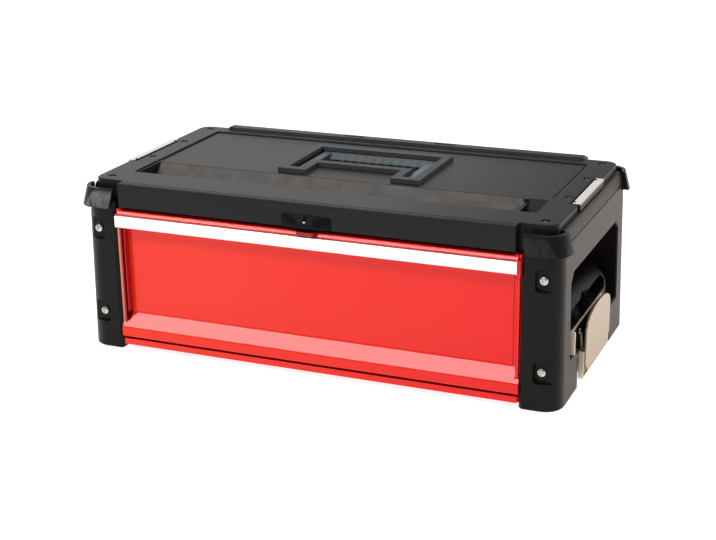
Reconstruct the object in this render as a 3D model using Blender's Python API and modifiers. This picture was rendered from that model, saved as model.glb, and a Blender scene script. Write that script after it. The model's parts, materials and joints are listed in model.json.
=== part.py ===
# Single-drawer module of a stacking tool cart: moulded end frames with arched
# windows, a steel chassis with one drawer on telescopic slides, a moulded top
# cover with a tray and a folding handle, and a draw latch on each side.
# Metres, +Z up, front at -Y, origin on the floor at the middle of the feet.
import math

import bmesh
import bpy
from mathutils import Matrix, Vector

# Overall sizes
FRAME_WIDTH = 0.495
FRAME_DEPTH = 0.257
DECK_HEIGHT = 0.175
SEAT_GAP = 0.0003
CUT_OVERRUN = 0.004

# End frames: two posts, a beam and four feet in one moulding each
POST_WIDTH = 0.0385
POST_DEPTH = 0.0375
POST_RADIUS = 0.019
POST_INNER_RADIUS = 0.0025
POST_LEAN_X = 0.0025
POST_LEAN_Y = 0.0015
FRAME_DROP = 0.020
BEAM_HEIGHT = 0.033
WINDOW_CHAMFER = 0.009
FOOT_HEIGHT = 0.039
FOOT_REACH = 0.028
FOOT_SLOPE = 0.004
FRAME_EDGE = 0.0012
CAVITY_WALL_X = 0.0075
CAVITY_WALL_Y = 0.0080
CAVITY_FLOOR = 0.0040
CAVITY_RIB = 0.0040
CAVITY_CEILING = 0.0025
SCREW_BOSS_HALF = 0.0115

# Flared corner guards that locate the module stacked above
GUARD_LAP = 0.006
GUARD_RISE = 0.013
GUARD_FLARE = 0.0065
GUARD_TOP_FLARE = 0.0015
GUARD_WALL = 0.0035
GUARD_SIDE_REACH = 0.022
GUARD_END_TAPER = 0.004
GUARD_SLOT_WIDTH = 0.008
GUARD_SLOT_DEPTH = 0.0045
GUARD_SLOT_TURN = -86

# Screws that hold the posts, and the square pockets they sit in
SCREW_INSET = 0.018
SCREW_LOW_Z = 0.038
SCREW_DROP = 0.029
POCKET_WIDTH = 0.023
POCKET_HEIGHT = 0.022
POCKET_DEPTH = 0.0048
POCKET_ROUND = 0.004
SCREW_HEAD_RADIUS = 0.0050
SCREW_HEAD_HEIGHT = 0.0036
SCREW_SHANK_RADIUS = 0.0025
SCREW_SHANK_LENGTH = 0.016
SCREW_SLOT_LENGTH = 0.0056
SCREW_SLOT_WIDTH = 0.0013
SCREW_SLOT_DEPTH = 0.0014

# Steel chassis between the end frames
SHEET = 0.0010
CHASSIS_BOTTOM = 0.005
CHASSIS_DROP = 0.0070
CHASSIS_FRONT_SETBACK = 0.0035
CHASSIS_REAR_SETBACK = 0.0055
FRONT_FLANGE = 0.0040
TOP_FLANGE = 0.0120
TOP_FLANGE_SETBACK = 0.0090
BACK_RETURN = 0.0100
RAIL_HEIGHT = 0.0078
RAIL_DEPTH = 0.0120
CROSS_RAIL_HEIGHT = 0.0100
CROSS_RAIL_DEPTH = 0.0150
CROSS_RAIL_SETBACK = 0.0200

# Drawer front, one folded sheet with a full-width handle strip
FRONT_SIDE_GAP = 0.0005
FRONT_RISE = 0.0007
FRONT_BOTTOM = 0.0135
FRONT_RETURN = 0.0090
FACE_RECESS = 0.0105
FACE_SIDE_STEP = 0.0065
FACE_SIDE_RETURN = 0.0070
FACE_BAND = 0.0197
LEDGE_TOP = 0.0380
LEDGE_BOTTOM = 0.0240
STRIP_DROP = 0.0055
STRIP_END_INSET = 0.0021
TOP_CORNER_INSET = 0.0024
STRIP_HEIGHT = 0.0124
STRIP_DEPTH = 0.0042
STRIP_LIP = 0.0022
STRIP_WALL = 0.0016

# Drawer box
DRAWER_ROOM_BELOW = 0.0110
DRAWER_ROOM_ABOVE = 0.0280
DRAWER_ROOM_BEHIND = 0.0147

# Telescopic slides
SLIDE_ROOM = 0.0127
SLIDE_STANDOFF = 0.0024
SLIDE_FRONT_GAP = 0.0094
SLIDE_PAD_LENGTH = 0.0200
SLIDE_PAD_HEIGHT = 0.0180
SLIDE_HEIGHT = 0.0450
SLIDE_STEP = 0.0042
SLIDE_SHEET = 0.0012
SLIDE_PLAY = 0.0006

# Top cover
COVER_INSET_X = 0.0095
COVER_INSET_Y = 0.0120
COVER_CORNER = 0.0120
COVER_WALL = 0.0030
SKIRT_SIDE_GAP = 0.0058
SKIRT_CLEARANCE = 0.0022
SKIRT_CHAMFER = 0.0022
FRONT_GROOVE_SETBACK = 0.0060
FRONT_GROOVE_WIDTH = 0.0012
FRONT_GROOVE_DEPTH = 0.0010
SIDE_LEDGE_INSET_X = 0.0029
SIDE_LEDGE_INSET_Y = 0.0235
SIDE_LEDGE_DROP = 0.0070
PANEL_BORDER_X = 0.0270
PANEL_INSET_FRONT = 0.0450
PANEL_INSET_REAR = 0.0305
PANEL_DROP = 0.0015
TRAY_REAR = 0.0360
TRAY_DEPTH = 0.0220
TRAY_ROUND = 0.0030
TRAY_SLOPE = 0.0140
CUP_WIDTH = 0.0280
DIVIDER_WIDTH = 0.0060
DIVIDER_DROP = 0.0030
RIB_PITCH_X = 0.0440
RIB_PITCH_Y = 0.0400
RIB_WALL = 0.0022
REAR_RAIL_SIDE_GAP = 0.0063
REAR_RAIL_OVERHANG = 0.0040
REAR_RAIL_DEPTH = 0.0130
REAR_RAIL_HEIGHT = 0.0030
REAR_SLOT_X = 0.0520
REAR_SLOT_LENGTH = 0.0230
REAR_SLOT_WIDTH = 0.0045

# Padlock hasp: a moulded lug on the cover over a folded tab on the drawer
HASP_HALF_WIDTH = 0.0260
HASP_RISE = 0.0005
HASP_HEIGHT = 0.0121
HASP_REACH = 0.0050
HASP_TOP_REACH = 0.0012
HASP_HOLE_RADIUS = 0.0016
TAB_WIDTH = 0.0240
TAB_THICKNESS = 0.0030
TAB_REACH = 0.0048

# Carry handle and the raised rim of its recess
RIM_HALF_WIDTH = 0.0760
RIM_BAR = 0.0085
RIM_HEIGHT = 0.0045
RIM_FRONT = 0.0290
RIM_REAR = 0.0710
NOTCH_BAR_FRONT = 0.0020
HANDLE_RECESS_DEPTH = 0.0195
HANDLE_DROP = 0.0045
ARM_SIDE_GAP = 0.0040
ARM_PLAY = 0.0005
ARM_WIDTH = 0.0090
ARM_HEIGHT = 0.0120
PIVOT_INSET = 0.0085
GRIP_REAR_GAP = 0.0015
GRIP_DEPTH = 0.0110
GRIP_HEIGHT = 0.0150
GRIP_FLAT = 0.0030
GRIP_BEVEL = 0.0050
GRIP_RIB_WIDTH = 0.0045
GRIP_RIB_PITCH = 0.0100
GRIP_RIB_DEPTH = 0.0016
PIN_RADIUS = 0.0030

# Steel strike plates on the cover's side edges
STRIKE_OVERLAP = 0.0125
STRIKE_TOP_WIDTH = 0.0060
STRIKE_SHEET = 0.0016
STRIKE_NOTCH_LENGTH = 0.0050
STRIKE_NOTCH_WIDTH = 0.0022
STRIKE_GROOVE_WIDTH = 0.0025
STRIKE_GROOVE_DEPTH = 0.0035

# Cover screws, spread along each side of the cover from front to rear
COVER_SCREW_INSET = 0.0145
COVER_SCREW_SHARES = (-0.893, -0.206, 0.378, 0.893)
COVER_SCREW_RADIUS = 0.0034
COVER_SCREW_HEIGHT = 0.0020
COVER_SCREW_RECESS = 0.0030
COVER_SCREW_SHANK_RADIUS = 0.0016
COVER_SCREW_SHANK = 0.0240

# Latch housings: the moulded blocks behind the draw latches
HOUSING_INSET = 0.0075
HOUSING_FOOT_GAP = 0.0060
HOUSING_UPPER_REACH = 0.0095
HOUSING_TOP = 0.0830
HOUSING_BOTTOM = 0.0030
HOUSING_SHOULDER_Z = 0.0600
HOUSING_SCOOP_MARGIN = 0.0170
HOUSING_SCOOP_DEPTH = 0.0150
HOUSING_SCOOP_Z = 0.0340
HOUSING_MOUTH_MARGIN = 0.0060
HOUSING_MOUTH_TOP = 0.0715
HOUSING_MOUTH_ROUND = 0.0060
HOUSING_WELL_DEPTH = 0.0080
HOUSING_WELL_CLEARANCE = 0.0012
HOUSING_CELL_WALL = 0.0030

# Draw latches
LATCH_SHEET = 0.0016
BRACKET_END_GAP = 0.0080
BRACKET_BOTTOM = 0.0410
BRACKET_TOP = 0.0575
EAR_WIDTH = 0.0085
EAR_BOTTOM = 0.0415
EAR_TOP = 0.0640
LEVER_MARGIN = 0.0100
LEVER_STANDOFF = 0.0107
LEVER_BOTTOM = 0.0095
LEVER_CORNER = 0.0090
LEVER_SHOULDER = 0.0520
LEVER_TOP = 0.0680
LEVER_FLANGE = 0.0105
LEVER_FLANGE_TOP = 0.0325
LEVER_PIVOT_STANDOFF = 0.0042
LEVER_PIVOT_Z = 0.0145
LEVER_PIN_RADIUS = 0.0020
LUG_INSET = 0.0100
LUG_RADIUS = 0.0032
BAIL_PIVOT_Z = 0.0275
BAIL_PIN_RADIUS = 0.0014
BAIL_ARM_GAP = 0.0016
BAIL_STANDOFF = 0.0041
BAIL_WIDTH = 0.0052
BAIL_BOTTOM = 0.0047
BAIL_TOP = 0.0520
BAIL_LIP = 0.0028
BAIL_LIP_INSET = 0.0040
LATCH_SCREW_OFFSET = 0.0040
LATCH_SCREW_RISE = 0.0080
LATCH_SCREW_RADIUS = 0.0030
LATCH_SCREW_HEIGHT = 0.0016
LATCH_SCREW_SHANK_RADIUS = 0.0015
LATCH_SCREW_SHANK = 0.0090

CURVE_STEPS = 6
ROUND_STEPS = 16

PART_COLLECTION = "stacking_drawer_module"
CUTTER_COLLECTION = "cutters"

# Places across the width
HALF_WIDTH = FRAME_WIDTH / 2
POST_INNER_X = HALF_WIDTH - POST_WIDTH
SCREW_X = HALF_WIDTH - SCREW_INSET
CHASSIS_HALF_WIDTH = POST_INNER_X - SEAT_GAP
SLIDE_WALL = CHASSIS_HALF_WIDTH - SHEET - SEAT_GAP - SLIDE_STANDOFF
DRAWER_HALF_WIDTH = CHASSIS_HALF_WIDTH - SHEET - SLIDE_STANDOFF - SLIDE_ROOM
FRONT_HALF_WIDTH = POST_INNER_X - FRONT_SIDE_GAP
FACE_HALF_WIDTH = FRONT_HALF_WIDTH - FACE_SIDE_STEP
STRIP_HALF_WIDTH = FRONT_HALF_WIDTH - STRIP_END_INSET
COVER_HALF_WIDTH = HALF_WIDTH - COVER_INSET_X
SKIRT_HALF_WIDTH = POST_INNER_X - SKIRT_SIDE_GAP
SIDE_LEDGE_HALF_WIDTH = HALF_WIDTH - SIDE_LEDGE_INSET_X
PANEL_HALF_WIDTH = COVER_HALF_WIDTH - PANEL_BORDER_X
DIVIDER_X = PANEL_HALF_WIDTH - CUP_WIDTH
REAR_RAIL_HALF_WIDTH = POST_INNER_X - REAR_RAIL_SIDE_GAP
COVER_SCREW_X = COVER_HALF_WIDTH - COVER_SCREW_INSET
RECESS_OUTER = RIM_HALF_WIDTH - RIM_BAR
ARM_OUTER = RECESS_OUTER - ARM_SIDE_GAP
ARM_INNER = ARM_OUTER - ARM_WIDTH
RECESS_INNER = ARM_INNER - ARM_PLAY
FOOT_BAR_INNER = RECESS_INNER - RIM_BAR
PIN_START = RECESS_INNER - RIM_BAR / 2
PIN_END = RECESS_OUTER + RIM_BAR / 2
HOUSING_OUTER = HALF_WIDTH - HOUSING_INSET
BRACKET_BACK = HOUSING_OUTER + SEAT_GAP
BRACKET_FRONT = BRACKET_BACK + LATCH_SHEET
LEVER_OUTER = BRACKET_BACK + LEVER_STANDOFF
LEVER_PIVOT_X = BRACKET_BACK + LEVER_PIVOT_STANDOFF
BAIL_INNER_X = BRACKET_BACK + BAIL_STANDOFF
BAIL_OUTER_X = BAIL_INNER_X + BAIL_WIDTH

# Places from front to rear
HALF_DEPTH = FRAME_DEPTH / 2
FRONT_Y = -HALF_DEPTH
FACE_Y = FRONT_Y + FACE_RECESS
WINDOW_HALF = HALF_DEPTH - POST_DEPTH
FOOT_INNER_Y = WINDOW_HALF - FOOT_REACH
CHASSIS_FRONT = HALF_DEPTH - CHASSIS_FRONT_SETBACK
CHASSIS_REAR = HALF_DEPTH - CHASSIS_REAR_SETBACK
BOX_FRONT = FACE_Y + SHEET + SEAT_GAP
BOX_REAR = CHASSIS_REAR - DRAWER_ROOM_BEHIND
SLIDE_FRONT = BOX_FRONT + SLIDE_FRONT_GAP
SLIDE_REAR = CHASSIS_REAR - BACK_RETURN - SEAT_GAP
COVER_HALF_DEPTH = HALF_DEPTH - COVER_INSET_Y
COVER_SCREW_YS = [share * COVER_HALF_DEPTH for share in COVER_SCREW_SHARES]
SIDE_LEDGE_HALF_DEPTH = HALF_DEPTH - SIDE_LEDGE_INSET_Y
PANEL_FRONT = HALF_DEPTH - PANEL_INSET_FRONT
PANEL_REAR = HALF_DEPTH - PANEL_INSET_REAR
PIVOT_Y = RIM_FRONT - RIM_BAR - PIVOT_INSET
GRIP_REAR = RIM_REAR - RIM_BAR - GRIP_REAR_GAP
GRIP_FRONT = GRIP_REAR - GRIP_DEPTH
HOUSING_HALF_LENGTH = FOOT_INNER_Y - HOUSING_FOOT_GAP
HOUSING_UPPER_HALF = FOOT_INNER_Y + HOUSING_UPPER_REACH
HOUSING_SCOOP_HALF = HOUSING_HALF_LENGTH - HOUSING_SCOOP_MARGIN
HOUSING_MOUTH_HALF = HOUSING_UPPER_HALF - HOUSING_MOUTH_MARGIN
BRACKET_HALF_LENGTH = WINDOW_HALF - BRACKET_END_GAP
LEVER_HALF_LENGTH = HOUSING_HALF_LENGTH - LEVER_MARGIN
LUG_Y = LEVER_HALF_LENGTH - LUG_INSET
BAIL_LIP_HALF = LUG_Y - BAIL_LIP_INSET
LATCH_SCREW_Y = LUG_Y + LATCH_SCREW_OFFSET
STRIKE_HALF_LENGTH = BAIL_LIP_HALF + STRIKE_OVERLAP

# Heights
FRAME_HEIGHT = DECK_HEIGHT - FRAME_DROP
WINDOW_TOP = FRAME_HEIGHT - BEAM_HEIGHT
GUARD_BOTTOM = FRAME_HEIGHT - GUARD_LAP
GUARD_TOP = FRAME_HEIGHT + GUARD_RISE
SCREW_HIGH_Z = FRAME_HEIGHT - SCREW_DROP
CHASSIS_TOP = FRAME_HEIGHT - CHASSIS_DROP
FRONT_TOP = CHASSIS_TOP + FRONT_RISE
FACE_TOP = FRONT_TOP - FACE_BAND
STRIP_TOP = FRONT_TOP - STRIP_DROP
DRAWER_FLOOR = CHASSIS_BOTTOM + DRAWER_ROOM_BELOW
DRAWER_TOP = CHASSIS_TOP - DRAWER_ROOM_ABOVE
SLIDE_CENTRE_Z = (DRAWER_FLOOR + DRAWER_TOP) / 2
SKIRT_BOTTOM = FRONT_TOP + SKIRT_CLEARANCE
SIDE_LEDGE_TOP = DECK_HEIGHT - SIDE_LEDGE_DROP
PANEL_HEIGHT = DECK_HEIGHT - PANEL_DROP
TRAY_FLOOR = DECK_HEIGHT - TRAY_DEPTH
HASP_BOTTOM = SKIRT_BOTTOM + HASP_RISE
HASP_TOP = HASP_BOTTOM + HASP_HEIGHT
RIM_TOP = PANEL_HEIGHT + RIM_HEIGHT
HANDLE_FLOOR = DECK_HEIGHT - HANDLE_RECESS_DEPTH
HANDLE_TOP = RIM_TOP - HANDLE_DROP
PIVOT_Z = HANDLE_TOP - ARM_HEIGHT / 2
LATCH_SCREW_Z = BRACKET_BOTTOM + LATCH_SCREW_RISE


COLOURS = {
    "black_plastic": ((0.030, 0.031, 0.032), 0.45, 0.0),
    "top_plastic": ((0.045, 0.046, 0.048), 0.50, 0.0),
    "grip_plastic": ((0.070, 0.080, 0.085), 0.45, 0.0),
    "red_enamel": ((0.800, 0.030, 0.020), 0.30, 0.0),
    "aluminium": ((0.900, 0.905, 0.910), 0.30, 1.0),
    "zinc": ((0.740, 0.740, 0.720), 0.30, 1.0),
    "nickel": ((0.720, 0.620, 0.500), 0.38, 1.0),
    "slide_steel": ((0.550, 0.560, 0.570), 0.35, 1.0),
}


def clear_scene():
    for old in list(bpy.data.objects):
        bpy.data.objects.remove(old, do_unlink=True)


def collection(name):
    found = bpy.data.collections.get(name)
    if found is None:
        found = bpy.data.collections.new(name)
        bpy.context.scene.collection.children.link(found)
    return found


def material(finish, name):
    colour, roughness, metallic = COLOURS[finish]
    made = bpy.data.materials.new(name)
    made.use_nodes = True
    shader = made.node_tree.nodes["Principled BSDF"]
    shader.inputs["Base Color"].default_value = (*colour, 1.0)
    shader.inputs["Roughness"].default_value = roughness
    shader.inputs["Metallic"].default_value = metallic
    return made


def object_from(bm, name):
    """Turns a bmesh into an object that no collection holds yet."""
    bmesh.ops.recalc_face_normals(bm, faces=bm.faces[:])
    mesh = bpy.data.meshes.new(name)
    bm.to_mesh(mesh)
    bm.free()
    return bpy.data.objects.new(name, mesh)


def block(low, high, name="cutter"):
    """A box between two corners."""
    bm = bmesh.new()
    bmesh.ops.create_cube(bm, size=1)
    low, high = Vector(low), Vector(high)
    bmesh.ops.scale(bm, vec=high - low, verts=bm.verts[:])
    bmesh.ops.translate(bm, vec=(low + high) / 2, verts=bm.verts[:])
    return object_from(bm, name)


def rod(radius, start, end, name="cutter", steps=ROUND_STEPS):
    """A cylinder between two points."""
    bm = bmesh.new()
    start, end = Vector(start), Vector(end)
    along = end - start
    bmesh.ops.create_cone(bm, cap_ends=True, segments=steps, radius1=radius, radius2=radius,
                          depth=along.length)
    turn = Vector((0, 0, 1)).rotation_difference(along).to_matrix().to_4x4()
    bmesh.ops.transform(bm, matrix=Matrix.Translation((start + end) / 2) @ turn, verts=bm.verts[:])
    return object_from(bm, name)


def flat_outline(points, low, high, plane="XY", name="cutter"):
    """A flat 2D curve outline, extruded from low to high across its plane."""
    curve = bpy.data.curves.new(name, "CURVE")
    curve.dimensions = "2D"
    curve.fill_mode = "BOTH"
    curve.extrude = (high - low) / 2
    spline = curve.splines.new("POLY")
    spline.points.add(len(points) - 1)
    for point, (u, v) in zip(spline.points, points):
        point.co = (u, v, 0, 1)
    spline.use_cyclic_u = True
    guide = bpy.data.objects.new(name, curve)
    bpy.context.scene.collection.objects.link(guide)
    bpy.context.view_layer.update()
    graph = bpy.context.evaluated_depsgraph_get()
    mesh = bpy.data.meshes.new_from_object(guide.evaluated_get(graph))
    bpy.data.objects.remove(guide, do_unlink=True)
    bm = bmesh.new()
    bm.from_mesh(mesh)
    bpy.data.meshes.remove(mesh)
    bmesh.ops.remove_doubles(bm, verts=bm.verts[:], dist=SEAT_GAP / 100)
    bmesh.ops.dissolve_limit(bm, angle_limit=math.radians(1), verts=bm.verts[:], edges=bm.edges[:])
    frames = {
        "XY": Matrix(((1, 0, 0, 0), (0, 1, 0, 0), (0, 0, 1, 0), (0, 0, 0, 1))),
        "YZ": Matrix(((0, 0, 1, 0), (1, 0, 0, 0), (0, 1, 0, 0), (0, 0, 0, 1))),
        "XZ": Matrix(((1, 0, 0, 0), (0, 0, 1, 0), (0, 1, 0, 0), (0, 0, 0, 1))),
    }
    middle = Matrix.Translation((0, 0, (low + high) / 2))
    bmesh.ops.transform(bm, matrix=frames[plane] @ middle, verts=bm.verts[:])
    return object_from(bm, name)


def loft(sections, name="cutter"):
    """A closed solid through rings of equally many points, bottom to top."""
    bm = bmesh.new()
    rings = [[bm.verts.new(point) for point in ring] for ring in sections]
    count = len(rings[0])
    for lower, upper in zip(rings, rings[1:]):
        for i in range(count):
            j = (i + 1) % count
            bm.faces.new((lower[i], lower[j], upper[j], upper[i]))
    bm.faces.new(rings[0][::-1])
    bm.faces.new(rings[-1])
    return object_from(bm, name)


def oval_arc(centre, radii, start, end, steps=CURVE_STEPS):
    """Points along an arc with its own radius along each axis, angles in degrees."""
    points = []
    for i in range(steps + 1):
        angle = math.radians(start + (end - start) * i / steps)
        points.append((centre[0] + radii[0] * math.cos(angle), centre[1] + radii[1] * math.sin(angle)))
    return points


def arc(centre, radius, start, end, steps=CURVE_STEPS):
    return oval_arc(centre, (radius, radius), start, end, steps)


def rounded_box_outline(low, high, radius, steps=3):
    """A rectangle in two coordinates with four round corners."""
    (a, b), (c, d) = low, high
    points = arc((c - radius, b + radius), radius, -90, 0, steps)
    points += arc((c - radius, d - radius), radius, 0, 90, steps)
    points += arc((a + radius, d - radius), radius, 90, 180, steps)
    points += arc((a + radius, b + radius), radius, 180, 270, steps)
    return points


def turned(profile, name="cutter", steps=ROUND_STEPS):
    """A solid of revolution about Z from (radius, height) pairs, top to bottom."""
    bm = bmesh.new()
    ring = [bm.verts.new((radius, 0, height)) for radius, height in profile]
    for a, b in zip(ring, ring[1:]):
        bm.edges.new((a, b))
    mesh = bpy.data.meshes.new(name)
    bm.to_mesh(mesh)
    bm.free()
    made = bpy.data.objects.new(name, mesh)
    screw = made.modifiers.new("turn", "SCREW")
    screw.steps = steps
    screw.render_steps = steps
    screw.use_merge_vertices = True
    screw.merge_threshold = SEAT_GAP / 100
    return baked(made, name)


def baked(source, name):
    """A plain-mesh object holding another's evaluated shape, which is removed."""
    linked = source.users_collection
    if not linked:
        bpy.context.scene.collection.objects.link(source)
    bpy.context.view_layer.update()
    graph = bpy.context.evaluated_depsgraph_get()
    mesh = bpy.data.meshes.new_from_object(source.evaluated_get(graph))
    matrix = source.matrix_world.copy()
    bpy.data.objects.remove(source, do_unlink=True)
    mesh.name = name
    mesh.transform(matrix)
    return bpy.data.objects.new(name, mesh)


def combine(base, others, operation):
    """Runs one exact Boolean for each of the other objects and keeps the result."""
    bpy.context.scene.collection.objects.link(base)
    for other in others:
        collection(CUTTER_COLLECTION).objects.link(other)
        other.hide_render = True
        other.display_type = "WIRE"
        boolean = base.modifiers.new(operation.lower(), "BOOLEAN")
        boolean.operation = operation
        boolean.solver = "EXACT"
        boolean.object = other
    made = baked(base, base.name)
    for other in others:
        bpy.data.objects.remove(other, do_unlink=True)
    return made


def cut(base, *cutters):
    return combine(base, cutters, "DIFFERENCE")


def join(base, *others):
    return combine(base, others, "UNION")


def keep(base, *others):
    return combine(base, others, "INTERSECT")


def moved(item, matrix):
    item.data.transform(matrix)
    if matrix.determinant() < 0:
        item.data.flip_normals()
    return item


def mirrored(item, axis, name):
    """A copy across the X or Y plane."""
    twin = bpy.data.objects.new(name, item.data.copy())
    flip = Matrix.Scale(-1, 4, Vector((axis == "X", axis == "Y", 0)))
    return moved(twin, flip)


def softened(item, width, segments=1, angle=40):
    """Bevels every edge sharper than the angle."""
    bevel = item.modifiers.new("edges", "BEVEL")
    bevel.width = width
    bevel.segments = segments
    bevel.limit_method = "ANGLE"
    bevel.angle_limit = math.radians(angle)
    bevel.use_clamp_overlap = True
    return baked(item, item.name)


def finish(item, name, finish_name, empty=None, smooth=False):
    """Names the piece, gives it its material and puts it in the collection."""
    item.name = name
    item.data.name = name
    item.data.materials.clear()
    item.data.materials.append(material(finish_name, name))
    if smooth:
        item.data.shade_smooth()
        item.data.set_sharp_from_angle(angle=math.radians(35))
    collection(PART_COLLECTION).objects.link(item)
    if empty is not None:
        item.parent = empty
        item.location = -world_place(empty)
    return item


def world_place(marker):
    """Where an unturned empty sits, its parents' places included."""
    place = marker.location.copy()
    while marker.parent is not None:
        marker = marker.parent
        place += marker.location
    return place


def axis_empty(name, place, parent=None):
    """A marker on a joint's axis, which carries the pieces that move."""
    marker = bpy.data.objects.new(name, None)
    marker.location = place
    if parent is not None:
        marker.parent = parent
        marker.location = Vector(place) - world_place(parent)
    marker.empty_display_size = SLIDE_ROOM
    collection(PART_COLLECTION).objects.link(marker)
    return marker


def post_section(height, out_x, out_y):
    """Footprint of one end frame at a height, leaning in as it rises."""
    low = (POST_INNER_X, -out_y)
    high = (out_x, out_y)
    points = [(low[0] + POST_INNER_RADIUS, low[1])]
    points += arc((high[0] - POST_RADIUS, low[1] + POST_RADIUS), POST_RADIUS, -90, 0)
    points += arc((high[0] - POST_RADIUS, high[1] - POST_RADIUS), POST_RADIUS, 0, 90)
    points += [(low[0] + POST_INNER_RADIUS, high[1])]
    points += [(low[0], high[1] - POST_INNER_RADIUS)]
    points += [(low[0], low[1] + POST_INNER_RADIUS)]
    return [(x, y, height) for x, y in points]


def guard_section(height, flare):
    """Plan of a corner guard at a height, round the right front post."""
    out_x = HALF_WIDTH - POST_LEAN_X + flare
    out_y = HALF_DEPTH - POST_LEAN_Y + flare
    centre = (HALF_WIDTH - POST_RADIUS, -HALF_DEPTH + POST_RADIUS)
    taper = GUARD_END_TAPER * (GUARD_TOP - height) / (GUARD_TOP - GUARD_BOTTOM)
    inner_y = -HALF_DEPTH + GUARD_SIDE_REACH
    points = [(POST_INNER_X + SEAT_GAP + taper, -out_y)]
    points += oval_arc(centre, (out_x - centre[0], out_y + centre[1]), -90, 0)
    points += [(out_x, inner_y)]
    points += [(centre[0] + POST_INNER_RADIUS, inner_y)]
    points += [(POST_INNER_X + SEAT_GAP + taper, -HALF_DEPTH + POST_RADIUS)]
    return [(x, y, height) for x, y in points]


def window_outline():
    """Side outline that the frame keeps: posts, beam and feet round the arch."""
    far = HALF_DEPTH + CUT_OVERRUN
    foot = FOOT_INNER_Y
    half = [
        (far, -CUT_OVERRUN),
        (far, FRAME_HEIGHT + CUT_OVERRUN),
        (-far, FRAME_HEIGHT + CUT_OVERRUN),
        (-far, -CUT_OVERRUN),
        (-foot, -CUT_OVERRUN),
        (-foot, FOOT_HEIGHT - FOOT_SLOPE),
        (-foot - FOOT_SLOPE, FOOT_HEIGHT),
        (-WINDOW_HALF, FOOT_HEIGHT),
        (-WINDOW_HALF, WINDOW_TOP - WINDOW_CHAMFER),
        (-WINDOW_HALF + WINDOW_CHAMFER, WINDOW_TOP),
        (WINDOW_HALF - WINDOW_CHAMFER, WINDOW_TOP),
        (WINDOW_HALF, WINDOW_TOP - WINDOW_CHAMFER),
        (WINDOW_HALF, FOOT_HEIGHT),
        (foot + FOOT_SLOPE, FOOT_HEIGHT),
        (foot, FOOT_HEIGHT - FOOT_SLOPE),
        (foot, -CUT_OVERRUN),
    ]
    return half


def pocket_floor():
    """How far back from the front plane the pocket floors lie."""
    return HALF_DEPTH - POCKET_DEPTH


def post_cells():
    """Heights of a post's cored cells: below, between and above its two screw bosses."""
    between_low = SCREW_LOW_Z + SCREW_BOSS_HALF
    between_high = SCREW_HIGH_Z - SCREW_BOSS_HALF
    middle = (between_low + between_high) / 2
    return (
        (CAVITY_FLOOR, SCREW_LOW_Z - SCREW_BOSS_HALF),
        (between_low, middle - CAVITY_RIB / 2),
        (middle + CAVITY_RIB / 2, between_high),
        (SCREW_HIGH_Z + SCREW_BOSS_HALF, FRAME_HEIGHT - CAVITY_CEILING),
    )


def end_frame():
    """The right end frame, with guards, pockets, bosses and hollow posts."""
    body = loft([
        post_section(0, HALF_WIDTH, HALF_DEPTH),
        post_section(FRAME_HEIGHT, HALF_WIDTH - POST_LEAN_X, HALF_DEPTH - POST_LEAN_Y),
    ], "end_frame")
    side = flat_outline(window_outline(), POST_INNER_X - CUT_OVERRUN, HALF_WIDTH + CUT_OVERRUN, "YZ")
    body = keep(body, side)
    body = softened(body, FRAME_EDGE, 1, 50)

    guard = loft([guard_section(GUARD_BOTTOM, GUARD_FLARE), guard_section(GUARD_TOP, GUARD_TOP_FLARE)])
    corner_x = HALF_WIDTH - POST_LEAN_X + GUARD_TOP_FLARE - GUARD_WALL
    corner_y = HALF_DEPTH - POST_LEAN_Y + GUARD_TOP_FLARE - GUARD_WALL
    inside = rounded_box_outline((-corner_x, -corner_y), (corner_x, corner_y), POST_RADIUS - GUARD_WALL, 5)
    room = flat_outline(inside, FRAME_HEIGHT, GUARD_TOP + CUT_OVERRUN)
    slot_angle = math.radians(GUARD_SLOT_TURN)
    slot_centre = Vector((HALF_WIDTH - POST_RADIUS, -HALF_DEPTH + POST_RADIUS, 0))
    slot_reach = POST_RADIUS + GUARD_FLARE
    slot = block((slot_reach - GUARD_SLOT_DEPTH, -GUARD_SLOT_WIDTH / 2, GUARD_BOTTOM - CUT_OVERRUN),
                 (slot_reach + CUT_OVERRUN, GUARD_SLOT_WIDTH / 2, GUARD_TOP + CUT_OVERRUN))
    moved(slot, Matrix.Translation(slot_centre) @ Matrix.Rotation(slot_angle, 4, "Z"))
    guard = cut(guard, room, slot)
    twin = mirrored(guard, "Y", "guard")
    body = join(body, guard, twin)

    cutters = []
    floor = pocket_floor()
    for z in (SCREW_LOW_Z, SCREW_HIGH_Z):
        low = (SCREW_X - POCKET_WIDTH / 3, z - POCKET_HEIGHT / 2)
        high = (HALF_WIDTH + CUT_OVERRUN, z + POCKET_HEIGHT / 2)
        outline = rounded_box_outline(low, high, POCKET_ROUND)
        pocket = flat_outline(outline, -HALF_DEPTH - CUT_OVERRUN, -floor, "XZ")
        hole = rod(SCREW_SHANK_RADIUS + SEAT_GAP, (SCREW_X, -floor - CUT_OVERRUN, z),
                   (SCREW_X, -floor + SCREW_SHANK_LENGTH + CUT_OVERRUN, z), steps=12)
        cutters += [pocket, hole, mirrored(pocket, "Y", "cutter"), mirrored(hole, "Y", "cutter")]
    for cell_low, cell_high in post_cells():
        cell = block((POST_INNER_X - CUT_OVERRUN, -HALF_DEPTH + CAVITY_WALL_Y, cell_low),
                     (HALF_WIDTH - CAVITY_WALL_X, -WINDOW_HALF - COVER_WALL, cell_high))
        cutters += [cell, mirrored(cell, "Y", "cutter")]
    for y in COVER_SCREW_YS:
        hole_low = DECK_HEIGHT - COVER_SCREW_RECESS - COVER_SCREW_SHANK - SEAT_GAP
        cutters.append(rod(COVER_SCREW_SHANK_RADIUS + SEAT_GAP, (COVER_SCREW_X, y, hole_low),
                           (COVER_SCREW_X, y, FRAME_HEIGHT + CUT_OVERRUN), steps=10))
    return cut(body, *cutters)


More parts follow.
